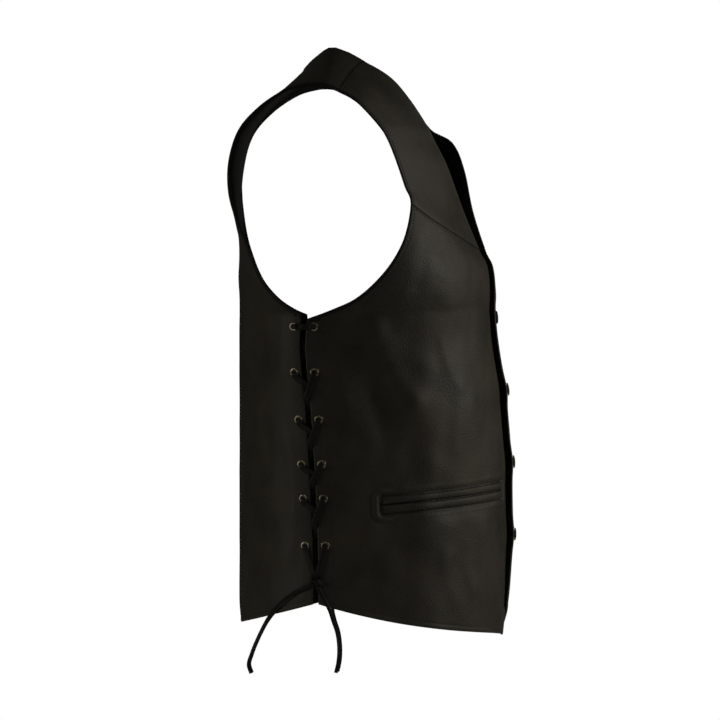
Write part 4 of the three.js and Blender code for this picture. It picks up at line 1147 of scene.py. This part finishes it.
def make_tail(lacing, end):
    """One free end of a lace, from the knot to its cut end."""
    half = lacing.half
    hanging = np.array([(OUTWARDS[half] * x, y, z) for y, z, x in TAIL_ROUTES[end]], float)
    if half == "left":
        share = smoothstep(-hanging[:, 2], -LEFT_TAIL_TOP, -LEFT_TAIL_BOTTOM)
        hanging[:, 1] += share * LEFT_TAIL_SHIFT
        hanging[:, 2] -= share * LEFT_TAIL_DROP
    way = unit(hanging[0] - lacing.knot)
    reach = 1 / np.linalg.norm(way / np.array(KNOT_RADII))
    start = lacing.knot + way * (reach - 1.5)
    route = smooth_route(np.concatenate([[start], hanging]), 6)
    share = np.linspace(0, 1, len(route))
    twist = 0.5 * np.sin(2.2 * math.pi * share) * np.sin(math.pi * share)
    tangent = unit(np.gradient(route, axis=0))
    out = np.array([OUTWARDS[half], 0, 0], float)
    flat = unit(np.cross(tangent, out))
    widths = flat * np.cos(twist)[:, None] + out * np.sin(twist)[:, None]
    points, faces = thong_shape(route, widths)
    piece = make_mesh("thong_end_" + end + "_" + half, points, faces, [THONG])
    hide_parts("lace_end_" + end + "_" + half)


def make_lacing(half):
    lacing = Lacing(half)
    for end in TAIL_ROUTES:
        make_tail(lacing, end)
    for piece in ("front", "back"):
        for index, spot in enumerate(lacing.spots[piece]):
            label = piece + "_" + half + "_" + str(index + 1)
            make_turned("brass_eyelet_" + label, eyelet_profile(), spot, EYELET_SIDES, BRASS,
                        "eyelet_" + label)
    strands = [lacing.strand(start) for start in ("back", "front")]
    for strand in strands:
        point, normal, heading = strand[-1]
        reach = lacing.knot - point
        free = np.linalg.norm(reach) - KNOT_REACH + 2
        strand.append((point + unit(reach) * free, normal, heading))
    whole = [(point, normal, -heading) for point, normal, heading in reversed(strands[0])] + strands[1][1:]
    make_thong("thong_" + half, whole, 5, lacing.spots, "lace_" + half)
    make_knot(lacing)
    return lacing.spots


# Snaps

def snap_spots(half):
    """Places of the snaps on the centre line of a front."""
    heights = np.array(SNAP_HEIGHTS, float)
    low, high = np.zeros(heights.shape), np.full(heights.shape, 0.12)
    for _ in range(12):
        u = (low + high) / 2
        inside = skin_spots(half, "front", u, heights)[0][:, 0] * -OUTWARDS[half] > 0
        low = np.where(inside, u, low)
        high = np.where(inside, high, u)
    points, normals = skin_spots(half, "front", low, heights)
    return list(zip(points + normals * snap_swell(low, points[:, 2])[:, None], normals))


def make_snap(label, cap_spot, stud_spot):
    """A cap on one spot and a stud on the other, whose post reaches up into the cap."""
    face = WALL / 2 + 0.1
    dome = [(CAP_RADIUS * math.sin(turn), face + 0.7 + (CAP_RISE - 0.7) * math.cos(turn))
            for turn in np.linspace(math.pi / 2, 0, 9)[:-1]]
    cap = [(0.01, -face - 1.5), (5.0, -face - 1.5), (5.5, -face - 1.1), (5.5, -face), (2.2, -face),
           (2.2, face), (CAP_RADIUS - 0.4, face), (CAP_RADIUS, face + 0.3), *dome, (0.01, face + CAP_RISE)]
    make_turned("snap_dome_" + label, cap, cap_spot, 40, SNAP_METAL, "snap_cap_" + label)
    reach = (cap_spot[0] - stud_spot[0]) @ cap_spot[1] - (face + 1.6)
    stud = [(0.01, -face - 0.8), (4.6, -face - 0.8), (5.0, -face - 0.4), (5.0, -face), (1.8, -face),
            (1.8, face), (5.0, face), (4.8, face + 0.8), (1.9, face + 0.9), (2.3, reach - 0.6), (1.8, reach),
            (0.01, reach)]
    make_turned("snap_post_" + label, stud, stud_spot, 32, SNAP_METAL, "snap_stud_" + label)


# Welts

def make_welt(half, name, low, high, replaced):
    """One puffed welt of a pocket, lying on the front between two heights over the slit."""
    shares = np.linspace(0, 1, WELT_STOPS)[:, None]
    rows = np.linspace(0, 1, WELT_ROWS)[None, :]
    ends = np.sqrt(np.clip(1 - (2 * np.abs(shares - 0.5)) ** 18, 0, 1))
    slit = POCKET_Z[0] + (POCKET_Z[1] - POCKET_Z[0]) * shares
    z = slit + (low + (high - low) * rows) * (0.3 + 0.7 * ends)
    u = np.broadcast_to(POCKET_SHARES[0] + (POCKET_SHARES[1] - POCKET_SHARES[0]) * shares, z.shape)
    station = station_at(half, "front", u, z)
    normals = normals_of(skin_points, half, u, station)
    height = WALL / 2 - WELT_SINK - soft_depth(half, "front", u, station, z)
    lie = skin_points(half, u, station) + normals * height[..., None]
    puff = (np.sqrt(np.clip(1 - (2 * rows - 1) ** 2, 0, 1)) * ends)[..., None]
    points = np.concatenate([(lie + normals * WELT_RISE * puff).reshape(-1, 3),
                             (lie - normals * 0.15 * puff).reshape(-1, 3)])
    faces = np.concatenate([grid_faces(WELT_STOPS, WELT_ROWS, 0, half == "right"),
                            grid_faces(WELT_STOPS, WELT_ROWS, WELT_STOPS * WELT_ROWS, half == "left")])
    points, faces, _ = merged(points, faces, [])
    piece = make_mesh(name, points, faces, [LEATHER])
    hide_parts(replaced)
    return piece


# The whole vest

# Rows of points between a panel's stops, and columns across it
FRONT_ROWS = (26, 52, 42, 28)
FRONT_COLUMNS = 110
YOKE_ROWS = (46,)
YOKE_COLUMNS = 22
BACK_ROWS = (16, 66, 86)
BACK_COLUMNS = 54
EDGE_SHARES = {"inner": 0.0, "outer": 1.0}
# Points along a line of stitches
ROW_COUNT = 260
# Heights between which the fronts have closer rows of points, for the pockets
POCKET_BAND = (-526, -464)


def line_along(edge, first, last, count, share=(0, 1)):
    """Shares and stations of points along one side of a panel, or across it at its first station."""
    if edge in EDGE_SHARES:
        return np.full(count, EDGE_SHARES[edge]), np.linspace(first, last, count)
    return np.linspace(*share, count), np.full(count, float(first))


def row_of(half, edge, first, last, inset, share=(0, 1)):
    """A stitched line at a distance from one edge of a panel."""
    return half, edge, *line_along(edge, first, last, ROW_COUNT, share), inset


def panel_edges(half, kinds):
    """Curves of each kind of edge, from rows of its name, its first and last station and its points."""
    return {kind: [skin_points(half, *line_along(*row)) for row in rows] for kind, rows in kinds.items()}


def pocket_row(half, rise):
    """Stitched line along a pocket, at a height over its slit."""
    shares = np.linspace(POCKET_SHARES[0], POCKET_SHARES[1], 80)
    heights = np.linspace(POCKET_Z[0], POCKET_Z[1], 80) + rise
    return half, "first", shares, station_at(half, "front", shares, heights), 0.0


def make_fronts(eyelets, snaps):
    last = station_of("yoke seam") - SEAM_GAP / 2
    armpit = station_of("front armpit")
    armhole = ("outer", armpit, last, 80)
    kinds = {"turned": [("first", 0, 0, 90), ("inner", 0, last, 260), armhole],
             "lacing": [("outer", 0, armpit, 190)],
             "seam": [("last", last, last, 60)],
             "armhole": [armhole]}
    for half in HALVES:
        edges = {half: panel_edges(half, kinds)}
        pocket = [float(station_at(half, "front", 0.5, height)) for height in POCKET_BAND]
        front = panel("leather_front_" + half, [half], 0, last, [*pocket, armpit], FRONT_ROWS, FRONT_COLUMNS,
                      edges, "front", "front_" + half)
        punch(front, eyelets[half]["front"], EYELET_BARREL + 0.05)
        punch(front, snaps[half], SNAP_HOLE)
        lines = [row_of(half, "inner", 2, last - 2, TOPSTITCH),
                 row_of(half, "outer", armpit + 6, last - 2, TOPSTITCH),
                 row_of(half, "outer", 3, armpit - 4, FACING_STITCH),
                 row_of(half, "first", 0, 0, TOPSTITCH, share=(0.02, 0.985)),
                 row_of(half, "last", last, last, SEAM_TOPSTITCH, share=(0.01, 0.99)),
                 pocket_row(half, UPPER_WELT + FRAME_MARGIN + WELT_SLIT / 2),
                 pocket_row(half, -LOWER_WELT - FRAME_MARGIN - WELT_SLIT / 2)]
        stitches = make_stitches("stitches_front_" + half, "front", lines)
        for label, low, high in (("upper", WELT_SLIT / 2, UPPER_WELT + WELT_SLIT / 2),
                                 ("lower", -LOWER_WELT - WELT_SLIT / 2, -WELT_SLIT / 2)):
            name = label + "_" + half
            make_welt(half, "leather_welt_" + name, low, high, "welt_" + name)


def make_yokes():
    first = station_of("yoke seam") + SEAM_GAP / 2
    last = station_of("shoulder seam") - SEAM_GAP / 2
    armhole = ("outer", first, last, 150)
    kinds = {"turned": [("inner", first, last, 150), armhole],
             "lacing": [],
             "seam": [("first", first, first, 40), ("last", last, last, 40)],
             "armhole": [armhole]}
    for half in HALVES:
        edges = {half: panel_edges(half, kinds)}
        yoke = panel("leather_yoke_" + half, [half], first, last, [], YOKE_ROWS, YOKE_COLUMNS, edges,
                     "yoke", "yoke_" + half)
        lines = [row_of(half, "inner", first + 2, last - 2, TOPSTITCH),
                 row_of(half, "outer", first + 2, last - 2, TOPSTITCH)]
        stitches = make_stitches("stitches_yoke_" + half, "yoke", lines)


def make_back(eyelets):
    first = station_of("shoulder seam") + SEAM_GAP / 2
    last = STATIONS[-1]
    neck = station_of("back neck 3")
    armpit = station_of("back armpit")
    armhole = ("outer", first, armpit, 220)
    kinds = {"turned": [("inner", first, neck, 60), armhole, ("last", last, last, 80)],
             "lacing": [("outer", armpit, last, 190)],
             "seam": [("first", first, first, 40)],
             "armhole": [armhole]}
    edges = {half: panel_edges(half, kinds) for half in HALVES}
    lines = []
    for half in HALVES:
        lines += [row_of(half, "inner", first + 2, neck - 4, TOPSTITCH),
                  row_of(half, "outer", first + 2, armpit - 6, TOPSTITCH),
                  row_of(half, "outer", armpit + 4, last - 3, FACING_STITCH),
                  row_of(half, "last", last, last, TOPSTITCH, share=(0, 0.985)),
                  row_of(half, "first", first, first, SEAM_TOPSTITCH, share=(0.01, 0.99))]
    back = panel("leather_back", HALVES, first, last, [neck, armpit], BACK_ROWS, BACK_COLUMNS, edges,
                 "back", "back", neck)
    punch(back, eyelets["right"]["back"] + eyelets["left"]["back"], EYELET_BARREL + 0.05)
    stitches = make_stitches("stitches_back", "back", lines)


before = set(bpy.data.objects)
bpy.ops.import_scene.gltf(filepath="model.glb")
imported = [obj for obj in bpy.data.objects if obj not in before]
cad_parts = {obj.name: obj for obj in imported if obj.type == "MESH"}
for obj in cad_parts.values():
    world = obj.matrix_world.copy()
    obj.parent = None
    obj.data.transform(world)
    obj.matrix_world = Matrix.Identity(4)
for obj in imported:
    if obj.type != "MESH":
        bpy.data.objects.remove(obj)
cad_low, cad_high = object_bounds()
make_camera()
LEATHER = leather_material("leather", (0.020, 0.0178, 0.0128), (0.046, 0.0405, 0.030), 0.56, 0.4)
LEATHER_INSIDE = leather_material("leather inside", (0.004, 0.004, 0.004), (0.010, 0.0095, 0.009), 0.85, 0.25)
THONG = leather_material("thong leather", (0.003, 0.003, 0.003), (0.009, 0.0085, 0.008), 0.55, 0.3)
BRASS = metal_material("antique brass", (0.12, 0.10, 0.065), (0.50, 0.45, 0.33), 0.40, 1.0)
SNAP_METAL = metal_material("blackened metal", (0.006, 0.006, 0.006), (0.014, 0.0135, 0.013), 0.65, 0.4)
THREAD = thread_material()
eyelets = {half: make_lacing(half) for half in HALVES}
snaps = {half: snap_spots(half) for half in HALVES}
make_fronts(eyelets, snaps)
make_yokes()
make_back(eyelets)
for index, spots in enumerate(zip(snaps["left"], snaps["right"])):
    make_snap(str(index + 1), *spots)
make_lights()
make_world()
make_floor(cad_low.z)
bpy.context.scene.view_settings.view_transform = "Standard"
